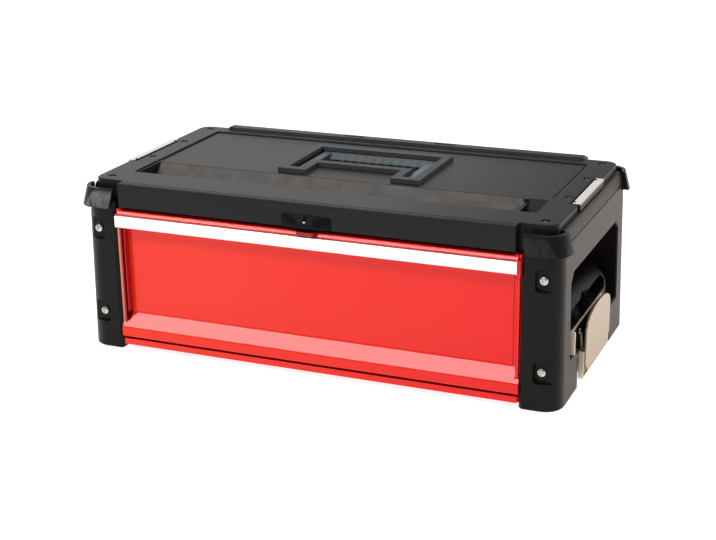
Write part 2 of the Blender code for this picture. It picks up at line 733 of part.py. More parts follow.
def post_screw():
    """A domed zinc screw with a cross slot, its head towards -Y at the origin."""
    rim = SCREW_HEAD_HEIGHT / 3
    profile = [
        (0, SCREW_HEAD_HEIGHT),
        (SCREW_HEAD_RADIUS / 2, SCREW_HEAD_HEIGHT - rim / 3),
        (SCREW_HEAD_RADIUS - rim / 2, SCREW_HEAD_HEIGHT - rim),
        (SCREW_HEAD_RADIUS, rim),
        (SCREW_HEAD_RADIUS, SEAT_GAP),
        (SCREW_SHANK_RADIUS, SEAT_GAP),
        (SCREW_SHANK_RADIUS, -SCREW_SHANK_LENGTH + SCREW_SHANK_RADIUS),
        (SCREW_SHANK_RADIUS / 3, -SCREW_SHANK_LENGTH),
        (0, -SCREW_SHANK_LENGTH),
    ]
    made = turned(profile, "screw", 14)
    slot_top = SCREW_HEAD_HEIGHT + CUT_OVERRUN
    slot_low = SCREW_HEAD_HEIGHT - SCREW_SLOT_DEPTH
    long, thin = SCREW_SLOT_LENGTH / 2, SCREW_SLOT_WIDTH / 2
    made = cut(made, block((-long, -thin, slot_low), (long, thin, slot_top)),
               block((-thin, -long, slot_low), (thin, long, slot_top)))
    return moved(made, Matrix.Rotation(math.radians(90), 4, "X"))


def add_end_frames():
    right = end_frame()
    left = mirrored(right, "X", "end_frame_left")
    finish(right, "end_frame_right", "black_plastic", smooth=True)
    finish(left, "end_frame_left", "black_plastic", smooth=True)
    screw = post_screw()
    floor = pocket_floor()
    for side_name, side in (("left", -1), ("right", 1)):
        for face_name, face in (("front", -1), ("rear", 1)):
            for level_name, level in (("lower", SCREW_LOW_Z), ("upper", SCREW_HIGH_Z)):
                name = f"post_screw_{face_name}_{side_name}_{level_name}"
                copy = bpy.data.objects.new(name, screw.data.copy())
                turn = Matrix.Rotation(math.radians(180), 4, "Z") if face > 0 else Matrix()
                place = Matrix.Translation((side * SCREW_X, face * floor, level))
                moved(copy, place @ turn)
                finish(copy, name, "zinc", smooth=True)


def add_chassis():
    half = CHASSIS_HALF_WIDTH
    low, high = CHASSIS_BOTTOM, CHASSIS_TOP
    front, rear = -CHASSIS_FRONT, CHASSIS_REAR
    right_half = [
        (half, low),
        (half, high),
        (half - TOP_FLANGE, high),
        (half - TOP_FLANGE, high - SHEET),
        (half - SHEET, high - SHEET),
        (half - SHEET, low + SHEET),
    ]
    section = right_half + [(-x, z) for x, z in reversed(right_half)]
    shell = flat_outline(section, front + SHEET / 2, rear - SHEET / 2, "XZ", "chassis_shell")
    bend_half = half - SHEET * 3 / 2
    shell = cut(shell, block((-bend_half, front - CUT_OVERRUN, high - SHEET * 2),
                             (bend_half, front + TOP_FLANGE_SETBACK, high + CUT_OVERRUN)))
    returns = []
    for side in (-1, 1):
        edges = sorted((side * (half - SHEET / 2), side * (half - FRONT_FLANGE)))
        returns.append(block((edges[0], front, low + SHEET / 2), (edges[1], front + SHEET, high - SEAT_GAP)))
        edges = sorted((side * (half - SHEET / 2), side * (half - BACK_RETURN)))
        returns.append(block((edges[0], rear - SHEET, low + SHEET / 2), (edges[1], rear, high - SHEET / 2)))
    shell = join(shell, *returns)
    finish(shell, "chassis_shell", "red_enamel")

    inner = half - SHEET - SEAT_GAP
    back_front = rear - SHEET - SEAT_GAP - SHEET
    under_flange = high - SHEET - SEAT_GAP
    back = block((-inner, back_front, low + SHEET + SEAT_GAP), (inner, back_front + SHEET, under_flange))
    back = join(back, block((-inner + TOP_FLANGE, back_front - BACK_RETURN, under_flange - SHEET),
                            (inner - TOP_FLANGE, back_front + SHEET, under_flange)))
    finish(back, "back_panel", "red_enamel")

    rail_low = low + SHEET + SEAT_GAP
    rail_high = low + RAIL_HEIGHT
    rail_front = front + SHEET + SEAT_GAP
    rail = block((-inner, rail_front, rail_low), (inner, rail_front + RAIL_DEPTH, rail_high))
    hollow = block((-inner - CUT_OVERRUN, rail_front + SHEET, rail_low + SHEET),
                   (inner + CUT_OVERRUN, rail_front + RAIL_DEPTH + CUT_OVERRUN, rail_high - SHEET))
    rail = cut(rail, hollow)
    fascia_back = front - SEAT_GAP
    fascia = block((-inner, FRONT_Y + SHEET, low), (inner, fascia_back, rail_high))
    neck_half = half - FRONT_FLANGE - SEAT_GAP
    neck = block((-neck_half, fascia_back - SHEET / 2, rail_low),
                 (neck_half, rail_front + SHEET / 2, rail_high))
    rail = join(rail, neck, fascia)
    finish(rail, "front_rail", "red_enamel")

    cross_low = high - CROSS_RAIL_HEIGHT
    cross_front = front + CROSS_RAIL_SETBACK
    cross = block((-inner, cross_front, cross_low), (inner, cross_front + CROSS_RAIL_DEPTH, under_flange))
    trough = block((-inner - CUT_OVERRUN, cross_front + SHEET, cross_low - CUT_OVERRUN),
                   (inner + CUT_OVERRUN, cross_front + CROSS_RAIL_DEPTH - SHEET, under_flange - SHEET))
    cross = cut(cross, trough)
    finish(cross, "top_cross_rail", "slide_steel")


def c_section(web_x, open_x, half_height, sheet, side):
    """Closed outline of a C-shaped slide member in X and Z about its centre."""
    a, b = web_x, open_x
    inward = 1 if b > a else -1
    inner = a + inward * sheet
    low, high = SLIDE_CENTRE_Z - half_height, SLIDE_CENTRE_Z + half_height
    points = [(a, low), (b, low), (b, low + sheet), (inner, low + sheet), (inner, high - sheet),
              (b, high - sheet), (b, high), (a, high)]
    return [(side * x, z) for x, z in points]


def add_slides(drawer, middles):
    """Three nested members a side: fixed, middle and drawer."""
    wall = SLIDE_WALL
    depth = SLIDE_ROOM - SEAT_GAP * 2
    front, rear = SLIDE_FRONT, SLIDE_REAR
    half = SLIDE_HEIGHT / 2
    for side_name, side in (("left", -1), ("right", 1)):
        outer = c_section(wall, wall - depth + SLIDE_PLAY * 4, half, SLIDE_SHEET, side)
        fixed = flat_outline(outer, front, rear, "XZ")
        pads = []
        for end in (front, rear - SLIDE_PAD_LENGTH):
            edges = sorted((side * (wall - SLIDE_SHEET / 2), side * (wall + SLIDE_STANDOFF)))
            pads.append(block((edges[0], end, SLIDE_CENTRE_Z - SLIDE_PAD_HEIGHT / 2),
                              (edges[1], end + SLIDE_PAD_LENGTH, SLIDE_CENTRE_Z + SLIDE_PAD_HEIGHT / 2)))
        fixed = join(fixed, *pads)
        finish(fixed, f"slide_outer_{side_name}", "slide_steel")
        middle_web = wall - SLIDE_SHEET - SLIDE_PLAY
        middle_open = wall - depth + SLIDE_PLAY * 3
        middle = c_section(middle_web, middle_open, half - SLIDE_STEP / 2, SLIDE_SHEET, side)
        inner_open = middle_web - SLIDE_SHEET - SLIDE_PLAY
        inner = c_section(wall - depth, inner_open, half - SLIDE_STEP, SLIDE_SHEET, side)
        for outline, label, empty in ((middle, "middle", middles), (inner, "inner", drawer)):
            member = flat_outline(outline, front, rear, "XZ")
            finish(member, f"slide_{label}_{side_name}", "slide_steel", empty)


def add_drawer(drawer):
    wall_x = DRAWER_HALF_WIDTH
    low, high = DRAWER_FLOOR, DRAWER_TOP
    tray = block((-wall_x, BOX_FRONT, low), (wall_x, BOX_REAR, high))
    room = block((-wall_x + SHEET, BOX_FRONT + SHEET, low + SHEET),
                 (wall_x - SHEET, BOX_REAR - SHEET, high + CUT_OVERRUN))
    tray = cut(tray, room)
    finish(tray, "drawer_box", "red_enamel", drawer)

    rows = [
        (FRONT_Y + FRONT_RETURN, FRONT_TOP),
        (FRONT_Y, FRONT_TOP),
        (FRONT_Y, FACE_TOP),
        (FACE_Y, FACE_TOP),
        (FACE_Y, LEDGE_TOP),
        (FRONT_Y, LEDGE_BOTTOM),
        (FRONT_Y, FRONT_BOTTOM),
        (FRONT_Y + FRONT_RETURN, FRONT_BOTTOM),
    ]
    bm = bmesh.new()
    left = [bm.verts.new((-FRONT_HALF_WIDTH, y, z)) for y, z in rows]
    right = [bm.verts.new((FRONT_HALF_WIDTH, y, z)) for y, z in rows]
    for i in range(len(rows) - 1):
        bm.faces.new((left[i], left[i + 1], right[i + 1], right[i]))
    mesh = bpy.data.meshes.new("drawer_front")
    bm.to_mesh(mesh)
    bm.free()
    sheet = bpy.data.objects.new("drawer_front", mesh)
    thick = sheet.modifiers.new("thickness", "SOLIDIFY")
    thick.thickness = SHEET
    thick.offset = -1
    thick.use_even_offset = True
    panel = baked(sheet, "drawer_front")
    bm = bmesh.new()
    bm.from_mesh(panel.data)
    bmesh.ops.recalc_face_normals(bm, faces=bm.faces[:])
    bm.to_mesh(panel.data)
    bm.free()
    cutters = []
    between_flanges = CHASSIS_HALF_WIDTH - FRONT_FLANGE - SEAT_GAP * 2
    for side in (-1, 1):
        ends = sorted((side * FACE_HALF_WIDTH, side * (FRONT_HALF_WIDTH + CUT_OVERRUN)))
        cutters.append(block((ends[0], FACE_Y - CUT_OVERRUN / 2, LEDGE_TOP + SHEET),
                             (ends[1], FACE_Y + CUT_OVERRUN, FACE_TOP - SHEET)))
        ends = sorted((side * between_flanges, side * (FRONT_HALF_WIDTH + CUT_OVERRUN)))
        cutters.append(block((ends[0], -CHASSIS_FRONT - SEAT_GAP, FRONT_BOTTOM - CUT_OVERRUN),
                             (ends[1], FACE_Y + CUT_OVERRUN, FRONT_TOP + CUT_OVERRUN)))
        ends = sorted((side * (FRONT_HALF_WIDTH - TOP_CORNER_INSET), side * (FRONT_HALF_WIDTH + CUT_OVERRUN)))
        cutters.append(block((ends[0], FRONT_Y - CUT_OVERRUN, STRIP_TOP),
                             (ends[1], FACE_Y + CUT_OVERRUN, FRONT_TOP + CUT_OVERRUN)))
    panel = cut(panel, *cutters)
    returns = []
    for side in (-1, 1):
        ends = sorted((side * FACE_HALF_WIDTH, side * (FACE_HALF_WIDTH - SHEET)))
        returns.append(block((ends[0], FACE_Y - FACE_SIDE_RETURN, LEDGE_TOP + SHEET * 2),
                             (ends[1], FACE_Y + SHEET, FACE_TOP - SHEET * 2)))
    panel = join(panel, *returns)
    finish(panel, "drawer_front", "red_enamel", drawer)

    strip_back = FRONT_Y - SEAT_GAP
    strip_front = strip_back - STRIP_DEPTH
    strip_low = STRIP_TOP - STRIP_HEIGHT
    outline = [
        (strip_back, STRIP_TOP),
        (strip_front + STRIP_LIP / 2, STRIP_TOP),
        (strip_front, STRIP_TOP - STRIP_LIP / 2),
        (strip_front, strip_low + STRIP_LIP / 2),
        (strip_front + STRIP_LIP / 2, strip_low),
        (strip_back - STRIP_WALL, strip_low),
        (strip_back - STRIP_WALL, strip_low + STRIP_LIP),
        (strip_back, strip_low + STRIP_LIP),
    ]
    strip = flat_outline(outline, -STRIP_HALF_WIDTH, STRIP_HALF_WIDTH, "YZ")
    finish(strip, "handle_strip", "aluminium", drawer)

    tab_top = FRONT_TOP - SHEET / 2
    tab_outline = [
        (-TAB_WIDTH / 2, FRONT_Y - SEAT_GAP),
        (-TAB_WIDTH / 3, FRONT_Y - TAB_REACH),
        (TAB_WIDTH / 3, FRONT_Y - TAB_REACH),
        (TAB_WIDTH / 2, FRONT_Y - SEAT_GAP),
    ]
    tab = flat_outline(tab_outline, tab_top - TAB_THICKNESS, tab_top)
    hole_y = FRONT_Y - TAB_REACH / 2
    tab = cut(tab, rod(HASP_HOLE_RADIUS, (0, hole_y, tab_top - TAB_THICKNESS - CUT_OVERRUN),
                       (0, hole_y, tab_top + CUT_OVERRUN), steps=12))
    finish(tab, "drawer_hasp_tab", "red_enamel", drawer)


def rim_outline(inset, front_inset, lap=0):
    """Plan of the U-shaped rim round the handle recess, drawn in by an inset."""
    outer = RIM_HALF_WIDTH - inset
    foot = FOOT_BAR_INNER + inset - lap
    front = -RIM_FRONT + front_inset
    notch = NOTCH_BAR_FRONT + inset
    rear = RIM_REAR - inset
    return [(-outer, front), (-foot, front), (-foot, notch), (foot, notch), (foot, front),
            (outer, front), (outer, rear), (-outer, rear)]


def add_cover():
    half_x, half_y = COVER_HALF_WIDTH, COVER_HALF_DEPTH
    low = FRAME_HEIGHT + SEAT_GAP
    seat = CHASSIS_TOP + SEAT_GAP
    top_outline = rounded_box_outline((-half_x, -half_y), (half_x, half_y), COVER_CORNER, 4)
    cover = flat_outline(top_outline, low, DECK_HEIGHT, name="top_cover")
    cover = softened(cover, COVER_WALL / 2, 2, 60)
    skirt_profile = [
        (-HALF_DEPTH, SKIRT_BOTTOM),
        (HALF_DEPTH, SKIRT_BOTTOM),
        (HALF_DEPTH, DECK_HEIGHT - SKIRT_CHAMFER),
        (HALF_DEPTH - SKIRT_CHAMFER / 3, DECK_HEIGHT - SKIRT_CHAMFER / 3),
        (HALF_DEPTH - SKIRT_CHAMFER, DECK_HEIGHT),
        (-HALF_DEPTH + SKIRT_CHAMFER, DECK_HEIGHT),
        (-HALF_DEPTH + SKIRT_CHAMFER / 3, DECK_HEIGHT - SKIRT_CHAMFER / 3),
        (-HALF_DEPTH, DECK_HEIGHT - SKIRT_CHAMFER),
    ]
    skirt = flat_outline(skirt_profile, -SKIRT_HALF_WIDTH, SKIRT_HALF_WIDTH, "YZ")
    base_y = -FACE_Y
    base = block((-CHASSIS_HALF_WIDTH, -base_y, seat),
                 (CHASSIS_HALF_WIDTH, base_y, DECK_HEIGHT - COVER_WALL))
    ledge_x = SIDE_LEDGE_HALF_WIDTH
    ledge_y = SIDE_LEDGE_HALF_DEPTH
    slope = (SIDE_LEDGE_TOP - low) / 4
    ledge_profile = [
        (-ledge_x, low),
        (ledge_x, low),
        (ledge_x - slope / 3, SIDE_LEDGE_TOP - slope),
        (ledge_x - slope, SIDE_LEDGE_TOP),
        (-ledge_x + slope, SIDE_LEDGE_TOP),
        (-ledge_x + slope / 3, SIDE_LEDGE_TOP - slope),
    ]
    ledge = flat_outline(ledge_profile, -ledge_y, ledge_y, "XZ")
    cover = join(cover, skirt, base, ledge)

    panel_outline = rounded_box_outline((-PANEL_HALF_WIDTH, -PANEL_FRONT), (PANEL_HALF_WIDTH, PANEL_REAR),
                                        TRAY_ROUND)
    panel = flat_outline(panel_outline, PANEL_HEIGHT, DECK_HEIGHT + CUT_OVERRUN)
    cover = cut(cover, panel)
    rim = flat_outline(rim_outline(0, 0), PANEL_HEIGHT - COVER_WALL, RIM_TOP)
    rail_front = half_y + REAR_RAIL_OVERHANG - REAR_RAIL_DEPTH
    rail = block((-REAR_RAIL_HALF_WIDTH, rail_front, DECK_HEIGHT - COVER_WALL),
                 (REAR_RAIL_HALF_WIDTH, rail_front + REAR_RAIL_DEPTH, DECK_HEIGHT + REAR_RAIL_HEIGHT))
    rail = softened(rail, REAR_RAIL_HEIGHT / 3)
    cover = join(cover, rim, rail)

    cutters = []
    tray_left = -PANEL_HALF_WIDTH + COVER_WALL
    spans = ((tray_left, DIVIDER_X), (DIVIDER_X + DIVIDER_WIDTH, -tray_left))
    slope_foot = -TRAY_REAR - TRAY_SLOPE
    slope = [
        (slope_foot - TRAY_ROUND * 2, PANEL_HEIGHT - TRAY_SLOPE),
        (slope_foot, PANEL_HEIGHT - TRAY_SLOPE),
        (-TRAY_REAR, PANEL_HEIGHT),
        (-TRAY_REAR, DECK_HEIGHT + CUT_OVERRUN),
        (slope_foot - TRAY_ROUND * 2, DECK_HEIGHT + CUT_OVERRUN),
    ]
    for left, right in spans:
        outline = rounded_box_outline((left, -PANEL_FRONT), (right, slope_foot), TRAY_ROUND)
        cutters.append(flat_outline(outline, TRAY_FLOOR, DECK_HEIGHT + CUT_OVERRUN))
        cutters.append(flat_outline(slope, left, right, "YZ"))
    groove_y = -HALF_DEPTH + FRONT_GROOVE_SETBACK
    cutters.append(block((-SKIRT_HALF_WIDTH - CUT_OVERRUN, groove_y, DECK_HEIGHT - FRONT_GROOVE_DEPTH),
                         (SKIRT_HALF_WIDTH + CUT_OVERRUN, groove_y + FRONT_GROOVE_WIDTH,
                          DECK_HEIGHT + CUT_OVERRUN)))
    over_left, over_right = DIVIDER_X - CUT_OVERRUN, DIVIDER_X + DIVIDER_WIDTH + CUT_OVERRUN
    cutters.append(block((over_left, -PANEL_FRONT + TRAY_ROUND, PANEL_HEIGHT - DIVIDER_DROP),
                         (over_right, -TRAY_REAR - TRAY_ROUND, DECK_HEIGHT + CUT_OVERRUN)))
    recess = rim_outline(RIM_BAR, RIM_BAR)
    cutters.append(flat_outline(recess, HANDLE_FLOOR, RIM_TOP + CUT_OVERRUN))
    for side in (-1, 1):
        middle = side * REAR_SLOT_X
        slot_y = rail_front + REAR_RAIL_DEPTH / 2
        slot_top = DECK_HEIGHT + REAR_RAIL_HEIGHT + CUT_OVERRUN
        cutters.append(block((middle - REAR_SLOT_LENGTH / 2, slot_y - REAR_SLOT_WIDTH / 2, DECK_HEIGHT),
                             (middle + REAR_SLOT_LENGTH / 2, slot_y + REAR_SLOT_WIDTH / 2, slot_top)))
        for y in COVER_SCREW_YS:
            x = side * COVER_SCREW_X
            well_low = DECK_HEIGHT - COVER_SCREW_RECESS
            cutters.append(rod(COVER_SCREW_RADIUS + SEAT_GAP * 3, (x, y, well_low),
                               (x, y, DECK_HEIGHT + CUT_OVERRUN), steps=12))
            cutters.append(rod(COVER_SCREW_SHANK_RADIUS + SEAT_GAP, (x, y, low - CUT_OVERRUN),
                               (x, y, DECK_HEIGHT), steps=10))
        strike_edge = side * (COVER_HALF_WIDTH - STRIKE_TOP_WIDTH)
        beyond = side * (SIDE_LEDGE_HALF_WIDTH + CUT_OVERRUN)
        strike_y = STRIKE_HALF_LENGTH + SEAT_GAP
        ends = sorted((strike_edge, beyond))
        strike_seat = DECK_HEIGHT - STRIKE_SHEET / 2 - SEAT_GAP
        cutters.append(block((ends[0], -strike_y, strike_seat), (ends[1], strike_y, RIM_TOP)))
        ends = sorted((strike_edge - side * STRIKE_GROOVE_WIDTH, strike_edge + side * SEAT_GAP))
        cutters.append(block((ends[0], -strike_y, DECK_HEIGHT - STRIKE_GROOVE_DEPTH),
                             (ends[1], strike_y, DECK_HEIGHT + CUT_OVERRUN)))
        ends = sorted((side * COVER_HALF_WIDTH, beyond))
        cutters.append(block((ends[0], -strike_y, SIDE_LEDGE_TOP), (ends[1], strike_y, RIM_TOP)))
        cutters.append(rod(PIN_RADIUS + SEAT_GAP, (side * (PIN_START - SEAT_GAP), -PIVOT_Y, PIVOT_Z),
                           (side * (PIN_END + SEAT_GAP), -PIVOT_Y, PIVOT_Z), steps=12))
    cover = cut(cover, *cutters)

    cells = []
    span_x = CHASSIS_HALF_WIDTH - COVER_WALL * 3
    count_x = int(span_x * 2 / RIB_PITCH_X)
    first_x = -count_x * RIB_PITCH_X / 2
    rows = ((-base_y + COVER_WALL, -PANEL_FRONT - COVER_WALL),
            (RIM_REAR + COVER_WALL, PANEL_REAR + COVER_WALL * 4))
    ceiling = PANEL_HEIGHT - COVER_WALL
    for i in range(count_x):
        x0 = first_x + i * RIB_PITCH_X + RIB_WALL / 2
        x1 = x0 + RIB_PITCH_X - RIB_WALL
        for y0, y1 in rows:
            cells.append(block((x0, y0, seat - CUT_OVERRUN), (x1, y1, ceiling)))
        beside_handle = min(abs(x0), abs(x1)) > RIM_HALF_WIDTH
        if beside_handle:
            middle_low = -TRAY_REAR + COVER_WALL
            bays = round((RIM_REAR - middle_low) / RIB_PITCH_Y)
            part = (RIM_REAR - middle_low - RIB_WALL * (bays - 1)) / bays
            for k in range(bays):
                y0 = middle_low + k * (part + RIB_WALL)
                cells.append(block((x0, y0, seat - CUT_OVERRUN), (x1, y0 + part, ceiling)))
    cover = cut(cover, *cells)

    lug = hasp_lug()
    cover = join(cover, lug)
    hole_y = -HALF_DEPTH - HASP_REACH / 2
    cover = cut(cover, rod(HASP_HOLE_RADIUS, (0, hole_y, HASP_BOTTOM - CUT_OVERRUN),
                           (0, hole_y, HASP_TOP + CUT_OVERRUN), steps=12))
    finish(cover, "top_cover", "top_plastic", smooth=True)


def hasp_lug():
    """Half-oval lug on the skirt, its top sloping forward and down."""
    def ring(reach, height):
        points = []
        for i in range(13):
            angle = math.pi * i / 12
            points.append((HASP_HALF_WIDTH * math.cos(angle), -HALF_DEPTH - reach * math.sin(angle), height))
        points.append((-HASP_HALF_WIDTH, -HALF_DEPTH + COVER_WALL, height))
        points.append((HASP_HALF_WIDTH, -HALF_DEPTH + COVER_WALL, height))
        return points

    middle = (HASP_TOP * 2 + HASP_BOTTOM * 3) / 5
    lower = ring(HASP_REACH * 9 / 10, HASP_BOTTOM)
    return loft([lower, ring(HASP_REACH, middle), ring(HASP_TOP_REACH, HASP_TOP)])


def add_handle(hinge):
    low = HANDLE_TOP - ARM_HEIGHT
    eye = ARM_HEIGHT / 2
    arm_end = GRIP_REAR - GRIP_FLAT / 2
    pieces = []
    for side in (-1, 1):
        outline = [(arm_end, HANDLE_TOP)]
        outline += arc((-PIVOT_Y, PIVOT_Z), eye, 90, 270)
        outline += [(arm_end, low)]
        ends = sorted((side * ARM_INNER, side * ARM_OUTER))
        pieces.append(flat_outline(outline, ends[0], ends[1], "YZ"))
    grip_low = HANDLE_TOP - GRIP_HEIGHT
    corner = GRIP_DEPTH / 5
    grip_outline = [
        (GRIP_FRONT, grip_low + corner),
        (GRIP_FRONT + corner, grip_low),
        (GRIP_REAR - corner, grip_low),
        (GRIP_REAR, grip_low + corner),
        (GRIP_REAR, HANDLE_TOP),
        (GRIP_REAR - GRIP_FLAT, HANDLE_TOP),
        (GRIP_FRONT, HANDLE_TOP - GRIP_BEVEL),
    ]
    grip = flat_outline(grip_outline, -ARM_OUTER, ARM_OUTER, "YZ")
    handle = join(grip, *pieces)
    grooves = []
    ribs = int(ARM_INNER * 2 / GRIP_RIB_PITCH)
    first = -(ribs - 1) * GRIP_RIB_PITCH / 2
    groove_rear = GRIP_FRONT + GRIP_RIB_DEPTH
    for i in range(ribs):
        x = first + i * GRIP_RIB_PITCH
        grooves.append(block((x - GRIP_RIB_WIDTH / 2, GRIP_FRONT - CUT_OVERRUN, grip_low - CUT_OVERRUN),
                             (x + GRIP_RIB_WIDTH / 2, groove_rear, HANDLE_TOP - GRIP_BEVEL)))
    for side in (-1, 1):
        grooves.append(rod(PIN_RADIUS + SEAT_GAP, (side * (ARM_INNER - CUT_OVERRUN), -PIVOT_Y, PIVOT_Z),
                           (side * (ARM_OUTER + CUT_OVERRUN), -PIVOT_Y, PIVOT_Z), steps=12))
    handle = cut(handle, *grooves)
    finish(handle, "carry_handle", "grip_plastic", hinge, smooth=True)
    for side_name, side in (("left", -1), ("right", 1)):
        pin = rod(PIN_RADIUS, (side * PIN_START, -PIVOT_Y, PIVOT_Z),
                  (side * PIN_END, -PIVOT_Y, PIVOT_Z), steps=12)
        finish(pin, f"handle_pin_{side_name}", "slide_steel", smooth=True)


def add_cover_trim():
    top = DECK_HEIGHT + STRIKE_SHEET / 2
    inner = COVER_HALF_WIDTH - STRIKE_TOP_WIDTH + SEAT_GAP
    face = COVER_HALF_WIDTH + SEAT_GAP
    outer = face + STRIKE_SHEET
    low = SIDE_LEDGE_TOP + SEAT_GAP
    outline = [
        (inner, top),
        (outer - STRIKE_SHEET / 2, top),
        (outer, top - STRIKE_SHEET / 2),
        (outer, low),
        (face, low),
        (face, top - STRIKE_SHEET),
        (inner, top - STRIKE_SHEET),
    ]
    strike = flat_outline(outline, -STRIKE_HALF_LENGTH, STRIKE_HALF_LENGTH, "XZ")
    notches = []
    for side in (-1, 1):
        y = side * (STRIKE_HALF_LENGTH - STRIKE_NOTCH_LENGTH)
        notch_half = STRIKE_NOTCH_LENGTH / 2
        notches.append(block((inner - CUT_OVERRUN, y - notch_half, top - STRIKE_SHEET - CUT_OVERRUN),
                             (inner + STRIKE_NOTCH_WIDTH, y + notch_half, top + CUT_OVERRUN)))
    strike = cut(strike, *notches)
    left = mirrored(strike, "X", "strike_plate_left")
    finish(strike, "strike_plate_right", "nickel")
    finish(left, "strike_plate_left", "nickel")
    seat = DECK_HEIGHT - COVER_SCREW_RECESS + SEAT_GAP
    profile = [
        (0, COVER_SCREW_HEIGHT),
        (COVER_SCREW_RADIUS * 2 / 3, COVER_SCREW_HEIGHT),
        (COVER_SCREW_RADIUS, COVER_SCREW_HEIGHT / 2),
        (COVER_SCREW_RADIUS, 0),
        (COVER_SCREW_SHANK_RADIUS, 0),
        (COVER_SCREW_SHANK_RADIUS, -COVER_SCREW_SHANK),
        (0, -COVER_SCREW_SHANK),
    ]
    screw = turned(profile, "cover_screw", 12)
    labels = ("front", "mid_front", "mid_rear", "rear")
    for side_name, side in (("left", -1), ("right", 1)):
        for label, y in zip(labels, COVER_SCREW_YS):
            name = f"cover_screw_{side_name}_{label}"
            copy = bpy.data.objects.new(name, screw.data.copy())
            moved(copy, Matrix.Translation((side * COVER_SCREW_X, y, seat)))
            finish(copy, name, "zinc", smooth=True)


def add_housing():
    """The moulded block behind each latch, with a scoop for fingers and a well for the lever's foot."""
    wall = CHASSIS_HALF_WIDTH + SEAT_GAP
    outer = HOUSING_OUTER
    rise = HOUSING_TOP - HOUSING_SHOULDER_Z
    run = outer - wall
    outline = [(wall, HOUSING_BOTTOM), (outer, HOUSING_BOTTOM)]
    for i in range(CURVE_STEPS + 1):
        angle = math.radians(90) * i / CURVE_STEPS
        outline.append((wall + run * math.cos(angle), HOUSING_SHOULDER_Z + rise * math.sin(angle)))
    body = flat_outline(outline, -HOUSING_UPPER_HALF, HOUSING_UPPER_HALF, "XZ")
    body = softened(body, POST_INNER_RADIUS, 2, 60)
    scoop = rod(HOUSING_SCOOP_HALF, (outer - HOUSING_SCOOP_DEPTH, 0, HOUSING_SCOOP_Z),
                (outer + CUT_OVERRUN, 0, HOUSING_SCOOP_Z), steps=24)
    mouth_outline = rounded_box_outline((-HOUSING_MOUTH_HALF, BRACKET_TOP),
                                        (HOUSING_MOUTH_HALF, HOUSING_MOUTH_TOP), HOUSING_MOUTH_ROUND)
    mouth = flat_outline(mouth_outline, outer - HOUSING_SCOOP_DEPTH + COVER_WALL, outer + CUT_OVERRUN, "YZ")
    well_half = LEVER_HALF_LENGTH + HOUSING_WELL_CLEARANCE
    well = block((outer - HOUSING_WELL_DEPTH, -well_half, HOUSING_BOTTOM - CUT_OVERRUN),
                 (outer + CUT_OVERRUN, well_half, BRACKET_BOTTOM - LATCH_SHEET))
    foot_room = block((wall - CUT_OVERRUN, HOUSING_HALF_LENGTH, HOUSING_BOTTOM - CUT_OVERRUN),
                      (outer + CUT_OVERRUN, HOUSING_UPPER_HALF + CUT_OVERRUN, FOOT_HEIGHT + SEAT_GAP))
    cutters = [scoop, mouth, well, foot_room, mirrored(foot_room, "Y", "cutter")]
    cell_outer = outer - HOUSING_SCOOP_DEPTH - HOUSING_CELL_WALL
    cell_width = (HOUSING_HALF_LENGTH * 2 - HOUSING_CELL_WALL * 4) / 3
    cell_height = (HOUSING_SHOULDER_Z - HOUSING_BOTTOM - HOUSING_CELL_WALL * 2) / 2
    for i in range(3):
        y = -HOUSING_HALF_LENGTH + HOUSING_CELL_WALL + i * (cell_width + HOUSING_CELL_WALL)
        for k in range(2):
            z = HOUSING_BOTTOM + HOUSING_CELL_WALL + k * (cell_height + HOUSING_CELL_WALL)
            cutters.append(block((wall - CUT_OVERRUN, y, z), (cell_outer, y + cell_width, z + cell_height)))
    for side in (-1, 1):
        y = side * LATCH_SCREW_Y
        cutters.append(rod(LATCH_SCREW_SHANK_RADIUS + SEAT_GAP, (outer - LATCH_SCREW_SHANK, y, LATCH_SCREW_Z),
                           (outer + CUT_OVERRUN, y, LATCH_SCREW_Z), steps=10))
    body = cut(body, *cutters)
    left = mirrored(body, "X", "latch_housing_left")
    finish(body, "latch_housing_right", "black_plastic", smooth=True)
    finish(left, "latch_housing_left", "black_plastic", smooth=True)


def arched(half, low, corner, shoulder, top, steps=8):
    """A plate outline in Y and Z with an arched top edge and its lower corners cut off."""
    points = [(-half + corner, low), (half - corner, low), (half, low + corner), (half, shoulder)]
    for i in range(1, steps):
        angle = math.pi * i / steps
        points.append((half * math.cos(angle), shoulder + (top - shoulder) * math.sin(angle)))
    points += [(-half, shoulder), (-half, low + corner)]
    return points


